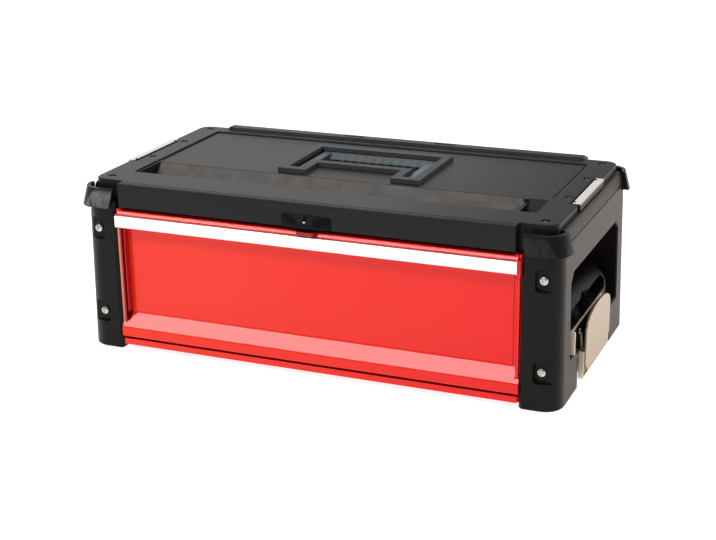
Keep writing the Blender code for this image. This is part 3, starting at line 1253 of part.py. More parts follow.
def latch_bracket():
    """A band with one ear turned out at its front end, and two lugs for the lever's pin."""
    back, front = BRACKET_BACK, BRACKET_FRONT
    half = BRACKET_HALF_LENGTH
    bracket = block((back, -half, BRACKET_BOTTOM), (front, LEVER_HALF_LENGTH, BRACKET_TOP), "latch_bracket")
    proud = LATCH_SHEET / 4
    parts = [block((back + proud, -half - proud, EAR_BOTTOM),
                   (back + EAR_WIDTH, -half + LATCH_SHEET, EAR_TOP))]
    lug_top = BRACKET_BOTTOM + LATCH_SHEET * 3
    lug = [(back, lug_top)]
    lug += arc((LEVER_PIVOT_X, LEVER_PIVOT_Z), LUG_RADIUS, 180, 360)
    lug += [(back + LUG_RADIUS, lug_top)]
    for end in (-1, 1):
        edges = sorted((end * LUG_Y, end * (LUG_Y - LATCH_SHEET)))
        parts.append(flat_outline(lug, edges[0], edges[1], "XZ"))
    bracket = join(bracket, *parts)
    holes = [rod(LEVER_PIN_RADIUS + SEAT_GAP, (LEVER_PIVOT_X, -half, LEVER_PIVOT_Z),
                 (LEVER_PIVOT_X, half, LEVER_PIVOT_Z), steps=12)]
    for end in (-1, 1):
        y = end * LATCH_SCREW_Y
        holes.append(rod(LATCH_SCREW_SHANK_RADIUS + SEAT_GAP, (back - CUT_OVERRUN, y, LATCH_SCREW_Z),
                         (front + CUT_OVERRUN, y, LATCH_SCREW_Z), steps=10))
    return cut(bracket, *holes)


def latch_lever():
    """Arched cover plate with two flanges turned in round its pins."""
    outer, inner = LEVER_OUTER, LEVER_OUTER - LATCH_SHEET
    half = LEVER_HALF_LENGTH
    lever_outline = arched(half, LEVER_BOTTOM, LEVER_CORNER, LEVER_SHOULDER, LEVER_TOP)
    lever = flat_outline(lever_outline, inner, outer, "YZ")
    flanges = []
    for end in (-1, 1):
        edges = sorted((end * (half - SEAT_GAP), end * (half - SEAT_GAP - LATCH_SHEET)))
        flanges.append(block((outer - LEVER_FLANGE, edges[0], LEVER_BOTTOM + SEAT_GAP * 2),
                             (outer - LATCH_SHEET / 2, edges[1], LEVER_FLANGE_TOP)))
    lever = join(lever, *flanges)
    reach = half + CUT_OVERRUN
    pivot = rod(LEVER_PIN_RADIUS + SEAT_GAP, (LEVER_PIVOT_X, -reach, LEVER_PIVOT_Z),
                (LEVER_PIVOT_X, reach, LEVER_PIVOT_Z), steps=12)
    carried = rod(BAIL_PIN_RADIUS + SEAT_GAP, (LEVER_PIVOT_X, -reach, BAIL_PIVOT_Z),
                  (LEVER_PIVOT_X, reach, BAIL_PIVOT_Z), steps=10)
    return cut(lever, pivot, carried)


def latch_bail():
    """A U of sheet with stub pins in the lever's flanges and a catch lip across its foot."""
    arm_in = LEVER_HALF_LENGTH + BAIL_ARM_GAP
    arm_out = arm_in + LATCH_SHEET
    foot_top = BAIL_BOTTOM + LATCH_SHEET
    bail = block((BAIL_INNER_X, -arm_out, BAIL_BOTTOM), (BAIL_OUTER_X, arm_out, foot_top), "latch_bail")
    parts = [block((BAIL_INNER_X - BAIL_LIP, -BAIL_LIP_HALF, BAIL_BOTTOM),
                   (BAIL_INNER_X + BAIL_LIP, BAIL_LIP_HALF, foot_top))]
    stub_in = LEVER_HALF_LENGTH - LATCH_SHEET - SEAT_GAP * 3
    for end in (-1, 1):
        edges = sorted((end * arm_in, end * arm_out))
        parts.append(block((BAIL_INNER_X, edges[0], BAIL_BOTTOM), (BAIL_OUTER_X, edges[1], BAIL_TOP)))
        stub_out = arm_out - LATCH_SHEET / 4
        parts.append(rod(BAIL_PIN_RADIUS, (LEVER_PIVOT_X, end * stub_in, BAIL_PIVOT_Z),
                         (LEVER_PIVOT_X, end * stub_out, BAIL_PIVOT_Z), steps=10))
    return join(bail, *parts)


def latch_screw():
    """A flat-domed screw lying along X, its shank towards -X."""
    profile = [
        (0, LATCH_SCREW_HEIGHT),
        (LATCH_SCREW_RADIUS * 2 / 3, LATCH_SCREW_HEIGHT),
        (LATCH_SCREW_RADIUS, LATCH_SCREW_HEIGHT / 2),
        (LATCH_SCREW_RADIUS, 0),
        (LATCH_SCREW_SHANK_RADIUS, 0),
        (LATCH_SCREW_SHANK_RADIUS, -LATCH_SCREW_SHANK),
        (0, -LATCH_SCREW_SHANK),
    ]
    screw = turned(profile, "latch_screw", 12)
    return moved(screw, Matrix.Rotation(math.radians(90), 4, "Y"))


def add_latches():
    reach = LEVER_HALF_LENGTH + SEAT_GAP
    pieces = {
        "latch_bracket": (latch_bracket(), "nickel", None),
        "latch_lever": (latch_lever(), "nickel", "lever"),
        "latch_bail": (latch_bail(), "nickel", "bail"),
        "latch_pin": (rod(LEVER_PIN_RADIUS, (LEVER_PIVOT_X, -reach, LEVER_PIVOT_Z),
                          (LEVER_PIVOT_X, reach, LEVER_PIVOT_Z), steps=12), "slide_steel", None),
    }
    for end_name, end in (("front", -1), ("rear", 1)):
        place = (BRACKET_FRONT + SEAT_GAP, end * LATCH_SCREW_Y, LATCH_SCREW_Z)
        pieces[f"latch_screw_{end_name}"] = (moved(latch_screw(), Matrix.Translation(place)), "zinc", None)
    for side_name, side in (("left", -1), ("right", 1)):
        x = side * LEVER_PIVOT_X
        lever = axis_empty(f"lever_hinge_{side_name}", (x, 0, LEVER_PIVOT_Z))
        bail = axis_empty(f"bail_hinge_{side_name}", (x, 0, BAIL_PIVOT_Z), lever)
        carriers = {"lever": lever, "bail": bail, None: None}
        for label, (shape, finish_name, carrier) in pieces.items():
            name = f"{label}_{side_name}"
            copy = bpy.data.objects.new(name, shape.data.copy())
            if side < 0:
                moved(copy, Matrix.Scale(-1, 4, Vector((1, 0, 0))))
            finish(copy, name, finish_name, carriers[carrier], smooth="pin" in label or "screw" in label)


def build():
    clear_scene()
    drawer = axis_empty("drawer_slide", (0, FRONT_Y, SLIDE_CENTRE_Z))
    middles = axis_empty("slide_middles", (0, FRONT_Y, SLIDE_CENTRE_Z))
    hinge = axis_empty("handle_hinge", (0, -PIVOT_Y, PIVOT_Z))
    add_end_frames()
    add_chassis()
    add_slides(drawer, middles)
    add_drawer(drawer)
    add_cover()
    add_handle(hinge)
    add_cover_trim()
    add_housing()
    add_latches()


build()
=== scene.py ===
# %% [markdown]
# # Dressing a stacking drawer module of a tool cart
# The real object is one module of a stacking tool cart: a red steel drawer between two
# black moulded end frames, under a moulded cover with a tray and a folding carry handle.
# Its solids are made already, as a fixed frame of named pieces that move on named bodies.
# A dressed model could be drawn from nothing over that frame, but the two would drift apart.
# So each piece here starts from the frame's own shape or sizes, and gains what the eye
# looks for: fold radii, moulded edges, brushed and enamelled surfaces, and studio light.

# %% Load the frame
import json
import math

import bmesh
import bpy
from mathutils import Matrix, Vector

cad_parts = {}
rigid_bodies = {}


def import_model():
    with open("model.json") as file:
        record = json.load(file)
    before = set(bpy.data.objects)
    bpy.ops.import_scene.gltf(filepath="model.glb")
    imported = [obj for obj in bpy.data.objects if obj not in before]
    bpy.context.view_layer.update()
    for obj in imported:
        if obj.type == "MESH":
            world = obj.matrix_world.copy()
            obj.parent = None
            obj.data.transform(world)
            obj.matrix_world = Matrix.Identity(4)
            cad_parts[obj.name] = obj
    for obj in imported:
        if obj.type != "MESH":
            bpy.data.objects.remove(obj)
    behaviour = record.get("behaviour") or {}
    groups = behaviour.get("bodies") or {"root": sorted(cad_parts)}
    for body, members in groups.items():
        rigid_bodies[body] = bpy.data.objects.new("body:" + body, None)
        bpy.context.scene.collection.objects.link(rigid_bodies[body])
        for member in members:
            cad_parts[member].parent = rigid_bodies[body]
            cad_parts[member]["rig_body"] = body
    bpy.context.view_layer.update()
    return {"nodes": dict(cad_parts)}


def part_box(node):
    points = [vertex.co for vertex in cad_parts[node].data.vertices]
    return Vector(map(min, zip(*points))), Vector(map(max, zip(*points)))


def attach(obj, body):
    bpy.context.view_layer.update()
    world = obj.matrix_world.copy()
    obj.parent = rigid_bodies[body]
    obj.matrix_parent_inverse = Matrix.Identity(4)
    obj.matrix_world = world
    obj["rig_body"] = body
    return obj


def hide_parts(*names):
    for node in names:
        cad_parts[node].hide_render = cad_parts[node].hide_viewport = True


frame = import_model()

# %% [markdown]
# ## Millimetres and colours
# The frame is in metres, but a workshop thinks in millimetres, so one constant turns one
# into the other. Colours are picked as sRGB hex values, the way that a colour picker gives
# them, while the shaders work with linear light. One function does that step for all.

# %% Units and colours
MM = 0.001
SIDES = {"left": -1, "right": 1}


def linear(code):
    """Linear RGBA of an sRGB hex colour such as #F0352C."""
    shares = [int(code[i:i + 2], 16) / 255 for i in (1, 3, 5)]
    light = [s / 12.92 if s <= 0.04045 else ((s + 0.055) / 1.055) ** 2.4 for s in shares]
    return (*light, 1.0)


print("mid grey #808080 is", round(linear("#808080")[0], 3), "in linear light")

# %% [markdown]
# ## The camera
# A camera stands where the photographer stood: a little to the right, from about 19 degrees
# above, with a long lens. Its place was solved from straight edges of the object, whose real
# sizes are known, so the render and the picture can be laid over each other. A hand-placed
# camera could come close, but it is worth solving.

# %% Camera
SENSOR_WIDTH = 36
LENS = 73.57
CAMERA_PLACE = (0.55303, -1.31181, 0.56196)
CAMERA_TURN = (70.86063935, 0.82376980, 22.65565207)

camera = bpy.data.objects.new("camera", bpy.data.cameras.new("camera"))
bpy.context.scene.collection.objects.link(camera)
bpy.context.scene.camera = camera
camera.data.sensor_width = SENSOR_WIDTH
camera.data.lens = LENS
camera.location = CAMERA_PLACE
camera.rotation_euler = [math.radians(turn) for turn in CAMERA_TURN]
print("camera stands", round(camera.location.length, 2), "m from the middle of the feet")

# %% [markdown]
# ## A helper for shader nodes
# Every surface below is a small node tree. Writing each node, its settings and its links
# takes three kinds of line, so one function does all three. A socket given as an input is
# linked, and any other value is typed into the input. Its second half also serves the
# shader that each new material already has.

# %% Node helper
def fill(node, inputs):
    """Links each socket to its input, and types in each plain value."""
    for name, value in inputs.items():
        if isinstance(value, bpy.types.NodeSocket):
            node.id_data.links.new(value, node.inputs[name])
        else:
            node.inputs[name].default_value = value


def put(tree, kind, inputs=None, **settings):
    """Adds a node, sets its properties, and fills or links its inputs."""
    made = tree.nodes.new(kind)
    for name, value in settings.items():
        setattr(made, name, value)
    fill(made, inputs or {})
    return made


def blank_finish(name):
    """A new material with its tree, its shader and its object coordinates."""
    made = bpy.data.materials.new(name)
    made.use_nodes = True
    tree = made.node_tree
    place = put(tree, "ShaderNodeTexCoord").outputs["Object"]
    return made, tree, tree.nodes["Principled BSDF"], place


print("helpers: fill, put, blank_finish")

# %% [markdown]
# ## The floor
# The picture is a catalogue shot: white ground, no hard shadow. A backdrop could be curved
# up behind the object, but the camera looks down and sees only floor, so a large matt sheet
# of studio paper is enough. It glows a little, which stands for the light that a real sheet
# gets from lamps all round the room.

# %% Studio floor
FLOOR_RADIUS = 14
FLOOR_GLOW = 0.85

floor_finish, tree, shader, place = blank_finish("matt_studio_paper")
fibres = put(tree, "ShaderNodeTexNoise", {"Vector": place, "Scale": 40.0, "Detail": 4.0})
tone = put(tree, "ShaderNodeMix",
           {0: fibres.outputs["Fac"], 6: linear("#A4A4A4"), 7: linear("#A8A8A8")},
           data_type="RGBA")
fill(shader, {"Base Color": tone.outputs[2], "Roughness": 0.9, "Specular IOR Level": 0.1,
              "Emission Color": linear("#FFFFFF"), "Emission Strength": FLOOR_GLOW})
sheet = bmesh.new()
bmesh.ops.create_circle(sheet, cap_ends=True, segments=64, radius=FLOOR_RADIUS)
floor = bpy.data.objects.new("studio_floor", bpy.data.meshes.new("studio_floor"))
sheet.to_mesh(floor.data)
sheet.free()
floor.data.materials.append(floor_finish)
bpy.context.scene.collection.objects.link(floor)
print("floor is", 2 * FLOOR_RADIUS, "m across")

# %% [markdown]
# ## Studio light
# A wide soft box hangs overhead. A second one stands in front on the left, just where the
# sloping ledge of the drawer mirrors it, which is what turns that ledge pink. The sky does
# the rest: a black moulding shows little but what it mirrors, so the sky is bright behind
# the object, where the deck looks, and dim in front, where the skirt and posts look. A plain
# white sky would be simpler, but it turns every black face grey.

# %% Soft boxes and sky
# Name, place, aim, width and height in metres, and power in watts
SOFT_BOXES = [("overhead_box", (0.1, 0.3, 2.3), (0, 0, 0), 2.6, 2.6, 30),
              ("ledge_box", (-0.75, -1.27, 1.45), (-0.75, -0.12, 0.03), 1.6, 0.45, 22)]
# Axis, where the ramp starts and ends along it, and the brightness at both
SKY_RAMPS = [("Z", 0.0, 0.9, 0.90, 1.00), ("Y", -0.5, 0.6, 0.24, 1.35),
             ("X", -0.55, -0.2, 1.04, 0.80)]

for name, stand, aim, width, height, power in SOFT_BOXES:
    lamp = bpy.data.lights.new(name, "AREA")
    lamp.shape = "RECTANGLE"
    lamp.size = width
    lamp.size_y = height
    lamp.energy = power
    holder = bpy.data.objects.new(name, lamp)
    holder.location = stand
    holder.rotation_euler = (Vector(aim) - Vector(stand)).to_track_quat("-Z", "Y").to_euler()
    bpy.context.scene.collection.objects.link(holder)

sky = bpy.data.worlds.new("pale_studio")
bpy.context.scene.world = sky
sky.use_nodes = True
tree = sky.node_tree
direction = put(tree, "ShaderNodeSeparateXYZ",
                {0: put(tree, "ShaderNodeTexCoord").outputs["Generated"]})
glow = 1.0
for axis, start, end, first, last in SKY_RAMPS:
    ramp = put(tree, "ShaderNodeMapRange",
               {"Value": direction.outputs[axis], "From Min": start, "From Max": end,
                "To Min": first, "To Max": last})
    glow = put(tree, "ShaderNodeMath", {0: glow, 1: ramp.outputs["Result"]},
               operation="MULTIPLY").outputs[0]
seen = put(tree, "ShaderNodeLightPath").outputs["Is Camera Ray"]
level = put(tree, "ShaderNodeMix", {0: seen, 2: glow, 3: 1.0})
fill(tree.nodes["Background"], {"Strength": level.outputs[0], "Color": (1, 1, 1, 1)})
bpy.context.scene.view_settings.view_transform = "Standard"
print("soft boxes:", [item.name for item in bpy.data.lights])

# %% [markdown]
# ## Moulded plastic
# End frames, latch housings and cover are injection-moulded ABS. The mould is spark-eroded,
# which leaves a fine grain that breaks up the shine; the real grain is about 0.1 mm, too fine
# to show here, so it is drawn at 0.7 mm. The eye gets near-black in front, and a grey sheen
# wherever it looks along the surface. ABS has an IOR near 1.53; a low specular level matches
# the dull faces. A faint cloud in the colour stands for the flow of the melt.
# The grip is glass-filled nylon, greyer, bluer and a little glossier, with a finer grain. The
# lug is polished by the shackle of every padlock, and the latch blocks are new and blackest.

# %% Moulded plastic
FLOW_MM = 45
ABS_IOR = 1.53
ROUGHNESS_SPREAD = 0.07


def moulded(name, dark, light, roughness, specular, grain_mm, sheen="#FFFFFF"):
    """A grained moulding; its sheen is the tint of what it mirrors."""
    made, tree, shader, place = blank_finish(name)
    grain = put(tree, "ShaderNodeTexNoise",
                {"Vector": place, "Scale": 1 / (grain_mm * MM), "Detail": 3.0})
    flow = put(tree, "ShaderNodeTexNoise",
               {"Vector": place, "Scale": 1 / (FLOW_MM * MM), "Detail": 2.0})
    colour = put(tree, "ShaderNodeMix",
                 {0: flow.outputs["Fac"], 6: linear(dark), 7: linear(light)}, data_type="RGBA")
    dull = put(tree, "ShaderNodeMapRange",
               {"Value": grain.outputs["Fac"], "To Min": roughness - ROUGHNESS_SPREAD,
                "To Max": roughness + ROUGHNESS_SPREAD})
    bump = put(tree, "ShaderNodeBump", {"Height": grain.outputs["Fac"], "Strength": 0.25,
                                        "Distance": grain_mm * MM / 5})
    fill(shader, {"Base Color": colour.outputs[2], "Roughness": dull.outputs["Result"],
                  "Normal": bump.outputs["Normal"], "IOR": ABS_IOR,
                  "Specular IOR Level": specular, "Specular Tint": linear(sheen)})
    return made


frame_abs = moulded("black_abs_spark_eroded", "#101010", "#141413", 0.40, 0.13, 0.7, "#FFF6EE")
cover_abs = moulded("black_abs_cover", "#161617", "#1B1B1C", 0.45, 0.18, 0.7, "#FFFAF4")
# The ribs are painted a lighter grey than the grip, as a painted highlight.
rib_nylon = moulded("grey_nylon_rib_painted_highlight", "#3F484D", "#495257", 0.40, 0.25, 0.5)
grip_nylon = moulded("grey_nylon_grip", "#3A4045", "#424A50", 0.42, 0.25, 0.5)
dark_abs = moulded("black_abs_latch_block", "#0B0B0C", "#101011", 0.38, 0.09, 0.7)
lug_abs = moulded("black_abs_polished_lug", "#0B0B0C", "#101011", 0.36, 0.08, 0.7)
print("moulded finishes:", frame_abs.name, cover_abs.name, grip_nylon.name)

# %% [markdown]
# ## Painted light and shade, by place
# Several finishes below get painted light or shade where the scene's lamps fall short, so
# they are changed by place. Each could be painted on an image, but a mask made from a point's
# place and the way it faces needs no picture and keeps its edge at any zoom. So the first
# helpers say where a point is, in millimetres, and how far it lies from a middle.

# %% Where a point is
def coordinates(made):
    """A finish's tree, a point's place in metres, the same in mm, and the way it faces."""
    tree = made.node_tree
    source = put(tree, "ShaderNodeTexCoord")
    place = source.outputs["Object"]
    scaled = put(tree, "ShaderNodeVectorMath", {0: place, "Scale": 1 / MM}, operation="SCALE")
    spot = put(tree, "ShaderNodeSeparateXYZ", {0: scaled.outputs[0]}).outputs
    turn = put(tree, "ShaderNodeSeparateXYZ", {0: source.outputs["Normal"]}).outputs
    return tree, place, spot, turn


def away(tree, value, middle=0.0):
    """How far a value lies from a middle, either way."""
    shift = put(tree, "ShaderNodeMath", {0: value, 1: middle}, operation="SUBTRACT")
    return put(tree, "ShaderNodeMath", {0: shift.outputs[0]}, operation="ABSOLUTE").outputs[0]


print("place helpers: coordinates, away")

# %% [markdown]
# ## Masks
# A patch of painted light or shade ends softly and is never even. One way is a chain of nodes
# written out for each patch; but they all say the same, so a mask is built as a product: of
# limits, which fade from 0 to 1 between two values, and of uneven shares, which come from noise.

# %% Masks
def patches(tree, place, size_mm, least, detail=5.0):
    """An uneven share between least and 1, in blots of a size."""
    blots = put(tree, "ShaderNodeTexNoise",
                {"Vector": place, "Scale": 1 / (size_mm * MM), "Detail": detail})
    return put(tree, "ShaderNodeMapRange",
               {"Value": blots.outputs["Fac"], "From Min": 0.3, "From Max": 0.7,
                "To Min": least, "To Max": 1.0}).outputs[0]


def region(tree, limits, shares=()):
    """A mask: each value fades from 0 at its first bound to 1 at its second."""
    edges = [put(tree, "ShaderNodeMapRange",
                 {"Value": value, "From Min": none, "From Max": full}).outputs[0]
             for value, none, full in limits]
    mask = edges[0]
    for factor in [*edges[1:], *shares]:
        mask = put(tree, "ShaderNodeMath", {0: mask, 1: factor}, operation="MULTIPLY").outputs[0]
    return mask


def recolour(made, mask, tint):
    """Lays a second colour over a finish where the mask is 1."""
    tree = made.node_tree
    shader = tree.nodes["Principled BSDF"]
    plain = shader.inputs["Base Color"].links[0].from_socket
    colour = put(tree, "ShaderNodeMix", {0: mask, 6: plain, 7: linear(tint)}, data_type="RGBA")
    fill(shader, {"Base Color": colour.outputs[2]})


print("mask helpers: patches, region, recolour")

# %% [markdown]
# ## Painted warm sheen on the sides
# The outer sides of frame and cover mirror a warm light, and that sheen is painted into their
# colour as a warm tint, uneven in patches. A separate material would need the mouldings cut
# at their corners. So the mask takes the faces that look sideways, far out.

# %% Painted sheen on the sides
# Where the painted sheen is none and full: by the share of facing, and in millimetres
SIDEWAYS = (0.85, 0.99)
FAR_OUT = (225, 230)
SHEEN_PATCH_MM = 18


def paint_warm_sheen(made, painted_tint):
    """Paints a warm sheen into the colour of the outer faces that look sideways."""
    tree, place, spot, turn = coordinates(made)
    mask = region(tree, [(away(tree, turn["X"]), *SIDEWAYS), (away(tree, spot["X"]), *FAR_OUT)],
                  [patches(tree, place, SHEEN_PATCH_MM, 0.4)])
    # The warm tint is a painted sheen: the warm light that these faces mirror.
    recolour(made, mask, painted_tint)


for finish in (frame_abs, cover_abs):
    paint_warm_sheen(finish, "#382B1F")
    print("painted warm sheen on sides of", finish.name)

# %% [markdown]
# ## Painted light on the corner guards
# The guards at the top of each post flare out past the frame, so they knock against the next
# module and the wall, and catch the light. Their black is painted grey there, as painted
# light, more on the left, where the light comes from, than on the right. A lit patch could be
# its own piece, but the light falls where a surface sticks out. So the mask is how far a
# point lies outside the frame's own box, above the guards' lower edge.

# %% Painted light on the guards
FRAME_HALF_WIDTH = 247.6
FRAME_HALF_DEPTH = 128.6
PROUD_BY = 1.2
GUARD_FOOT = 149
RIGHT_SHARE = 0.15
GUARD_PATCH_MM = 9


def paint_light_on_guards(made, lit):
    """Paints grey, as painted light, whatever stands outside the frame's box above the guards'
    lower edge.
    """
    tree, place, spot, _ = coordinates(made)
    outside = [put(tree, "ShaderNodeMath", {0: away(tree, spot[axis]), 1: half},
                   operation="SUBTRACT").outputs[0]
               for axis, half in (("X", FRAME_HALF_WIDTH), ("Y", FRAME_HALF_DEPTH))]
    furthest = put(tree, "ShaderNodeMath", {0: outside[0], 1: outside[1]}, operation="MAXIMUM")
    lit_from_left = put(tree, "ShaderNodeMapRange",
                    {"Value": spot["X"], "From Min": -100, "From Max": 100,
                     "To Min": 1.0, "To Max": RIGHT_SHARE})
    mask = region(tree, [(furthest.outputs[0], 0, PROUD_BY),
                         (spot["Z"], GUARD_FOOT, GUARD_FOOT + 1)],
                  [lit_from_left.outputs[0], patches(tree, place, GUARD_PATCH_MM, 0.45, 4.0)])
    # Painted light: grey on the guards, stronger on the left, where the light comes from.
    recolour(made, mask, lit)


paint_light_on_guards(frame_abs, "#686868")
print("guards are rubbed above", GUARD_FOOT, "mm")

# %% [markdown]
# ## Painted light in the tray
# The sloping rear wall of the tray faces up toward the overhead soft box, and that light is
# painted into its colour as a lighter brownish grey. The small cup at its right end is left
# out. The slope could be cut off and get a finish of its own, but it is one moulding with the
# cover, and the cut would show. So a mask picks it by its place, and noise keeps its tone
# uneven.

# %% Painted light on the slope
SLOPE_FRONT = -51.0
SLOPE_REAR = -35.8
SLOPE_LOW = 157.5
SLOPE_TOP = 173.4
SLOPE_MIDDLE = -10.5
SLOPE_HALF = 196
SLOPE_PATCH_MM = 14


def paint_light_on_slope(made, painted_tint):
    """Tints the sloping rear wall of the tray lighter, as painted light."""
    tree, place, spot, _ = coordinates(made)
    aside = away(tree, spot["X"], SLOPE_MIDDLE)
    mask = region(tree, [(spot["Y"], SLOPE_FRONT, SLOPE_FRONT + 1),
                         (spot["Y"], SLOPE_REAR, SLOPE_REAR - 0.2),
                         (spot["Z"], SLOPE_LOW, SLOPE_LOW + 2),
                         (spot["Z"], SLOPE_TOP, SLOPE_TOP - 0.5),
                         (aside, SLOPE_HALF, SLOPE_HALF - 1)],
                  [patches(tree, place, SLOPE_PATCH_MM, 0.6)])
    # Painted light: the slope is tinted lighter where the overhead light would fall.
    recolour(made, mask, painted_tint)


paint_light_on_slope(cover_abs, "#5C5855")
print("slope with painted light is", round(SLOPE_REAR - SLOPE_FRONT, 1), "mm deep")

# %% [markdown]
# ## Painted light on the rim
# The rim round the folded handle and the rail along the rear stand up from the panel, where
# the feet of the next module slide over them. Their upright faces are painted a dark grey, as
# painted light, so they show against the true black of the grooves. A lamp low in front could
# light them, but it would light the skirt too. So a mask takes what stands above the panel and
# doesn't look up.

# %% Painted light on the rim
PANEL_LEVEL = 173.5
RIM_FRONT = -40
NOT_UPWARD = (0.6, 0.3)


def paint_light_on_rim(made, lit):
    """Paints the upright faces that stand above the panel grey, as painted light."""
    tree, _, spot, turn = coordinates(made)
    mask = region(tree, [(turn["Z"], *NOT_UPWARD),
                         (spot["Z"], PANEL_LEVEL, PANEL_LEVEL + 0.25),
                         (spot["Y"], RIM_FRONT, RIM_FRONT + 1)])
    # Painted light: grey on the upright faces, where a low lamp would fall.
    recolour(made, mask, lit)


paint_light_on_rim(cover_abs, "#464648")
print("rim is rubbed above", PANEL_LEVEL, "mm")

# %% [markdown]
# ## Duller right end
# Toward its right end the cover mirrors less of the sky and looks darker. Paint can't do that
# to a mirrored light, but a coarser grain can, because it spreads the mirrored light. So the
# roughness of whatever looks up rises slowly along the cover.

# %% Rougher right end
ROUGHER_FROM = 60
ROUGHER_TO = 230
UPWARD = (0.5, 0.8)


def roughen_end(made, extra):
    """Raises the roughness of what looks up, toward the right end."""
    tree, _, spot, turn = coordinates(made)
    shader = tree.nodes["Principled BSDF"]
    plain = shader.inputs["Roughness"].links[0].from_socket
    rise = region(tree, [(spot["X"], ROUGHER_FROM, ROUGHER_TO), (turn["Z"], *UPWARD)])
    dull = put(tree, "ShaderNodeMath", {0: rise, 1: extra, 2: plain}, operation="MULTIPLY_ADD")
    fill(shader, {"Roughness": dull.outputs[0]})


roughen_end(cover_abs, 0.22)
print("cover is duller from x", ROUGHER_FROM, "mm on")

# %% [markdown]
# ## Shade in the folds
# Deep in the left end of the drawer's recess, and in the seams below and above its front, the
# red darkens to crimson. On the real sheet that is light lost between two folds. Those folds
# could be modelled, but they are narrower than a millimetre and would part from the solids,
# so a mask picks their places.

# %% Dark folds
# Where the shade is none and full, in millimetres
RECESS_END = (-200.3, -200.9)
UPPER_SEAM = (147.1, 147.5)
FRONT_ONLY = (-109.0, -110.0)
# A middle, and the distances from it where the shade is none and full
RECESS_DEPTH = (-119.5, 8.4, 7.6)
RECESS_HEIGHT = (79.0, 51.0, 49.0)
LOWER_SEAM = (13.1, 1.5, 0.9)


def fold_mask(tree, spot):
    """The left end of the recess and the seams below and above the drawer's front."""
    recess = region(tree, [(spot["X"], *RECESS_END),
                           (away(tree, spot["Y"], RECESS_DEPTH[0]), *RECESS_DEPTH[1:]),
                           (away(tree, spot["Z"], RECESS_HEIGHT[0]), *RECESS_HEIGHT[1:])])
    lower = region(tree, [(away(tree, spot["Z"], LOWER_SEAM[0]), *LOWER_SEAM[1:]),
                          (spot["Y"], *FRONT_ONLY)])
    upper = region(tree, [(spot["Z"], *UPPER_SEAM), (spot["Y"], *FRONT_ONLY)])
    seams = put(tree, "ShaderNodeMath", {0: lower, 1: upper}, operation="MAXIMUM")
    return put(tree, "ShaderNodeMath", {0: recess, 1: seams.outputs[0]},
               operation="MAXIMUM").outputs[0]


print("recess darkens over", round(RECESS_END[0] - RECESS_END[1], 1), "mm")

# %% [markdown]
# ## Gloss enamel on sheet steel
# The drawer and its chassis are folded steel, powder-coated and baked to a gloss enamel. The
# coat flows before it sets and keeps a shallow orange peel with waves of about 1.5 mm. The
# eye gets a full red where the sheet faces it, and a sharp white-pink glint on each fold. One
# glossy layer could give either, not both. So the colour sits under a clear coat with its own
# low roughness, and the peel moves both. The red is painted warmer on the left, near the
# front soft box, and deeper on the right, as painted light under a random cloud of tone. The
# tab's red is painted dark, as painted shade under the black lug; the hem's is painted salmon,
# as a painted highlight on its tight roll; and the one in the gaps, where no light falls,
# mirrors nothing.

# %% Gloss enamel
PEEL_MM = 1.5
CLOUD_MM = 80
PAINTED_LIT_LEFT = -120
PAINTED_SHADE_RIGHT = 200


def gloss_enamel(name, deep, bright, in_folds, coat=1.0, specular=0.03):
    """Baked powder coat with orange peel, with painted light warmer on the left and painted
    shade in the folds.
    """
    made, tree, shader, place = blank_finish(name)
    peel = put(tree, "ShaderNodeTexNoise",
               {"Vector": place, "Scale": 1 / (PEEL_MM * MM), "Detail": 1.0})
    cloud = put(tree, "ShaderNodeTexNoise",
                {"Vector": place, "Scale": 1 / (CLOUD_MM * MM), "Detail": 2.0})
    spot = coordinates(made)[2]
    # Painted light: the red is mixed warmer toward the left, near the front soft box, with a
    # random cloud of tone over it.
    painted_left_light = put(tree, "ShaderNodeMapRange",
                   {"Value": spot["X"], "From Min": PAINTED_LIT_LEFT, "From Max": PAINTED_SHADE_RIGHT,
                    "To Min": 0.85, "To Max": 0.0})
    cloudy = put(tree, "ShaderNodeMapRange",
                 {"Value": cloud.outputs["Fac"], "To Min": -0.15, "To Max": 0.15})
    light_and_cloud = put(tree, "ShaderNodeMath", {0: painted_left_light.outputs[0], 1: cloudy.outputs[0]},
                 operation="ADD", use_clamp=True)
    colour = put(tree, "ShaderNodeMix",
                 {0: light_and_cloud.outputs[0], 6: linear(deep), 7: linear(bright)}, data_type="RGBA")
    dull = put(tree, "ShaderNodeMapRange",
               {"Value": peel.outputs["Fac"], "To Min": 0.40, "To Max": 0.48})
    bump = put(tree, "ShaderNodeBump", {"Height": peel.outputs["Fac"], "Strength": 0.12,
                                        "Distance": PEEL_MM * MM / 30})
    fill(shader, {"Base Color": colour.outputs[2], "Roughness": dull.outputs["Result"],
                  "Normal": bump.outputs["Normal"], "Coat Normal": bump.outputs["Normal"],
                  "Specular IOR Level": specular, "Coat Weight": coat,
                  "Coat Roughness": 0.12, "Coat IOR": 1.40})
    recolour(made, fold_mask(tree, spot), in_folds)
    return made


red_enamel = gloss_enamel("red_powder_coat", "#EB0E03", "#ED2A10", "#AE0C10")
# The tab's red is painted dark, as painted shade under the black lug.
tab_enamel = gloss_enamel("red_powder_coat_painted_shade_tab", "#8E0A12", "#9C0E16", "#8A0C12")
# The hem's salmon is a painted highlight on its tight roll.
hem_highlight_enamel = gloss_enamel("red_powder_coat_painted_highlight_hem", "#D88468", "#DE8C70", "#D88468")
deep_enamel = gloss_enamel("red_powder_coat_unlit_gap", "#5A0204", "#640406", "#5A0204",
                           coat=0.0, specular=0.0)
print("enamels:", red_enamel.name, tab_enamel.name, hem_highlight_enamel.name, deep_enamel.name)

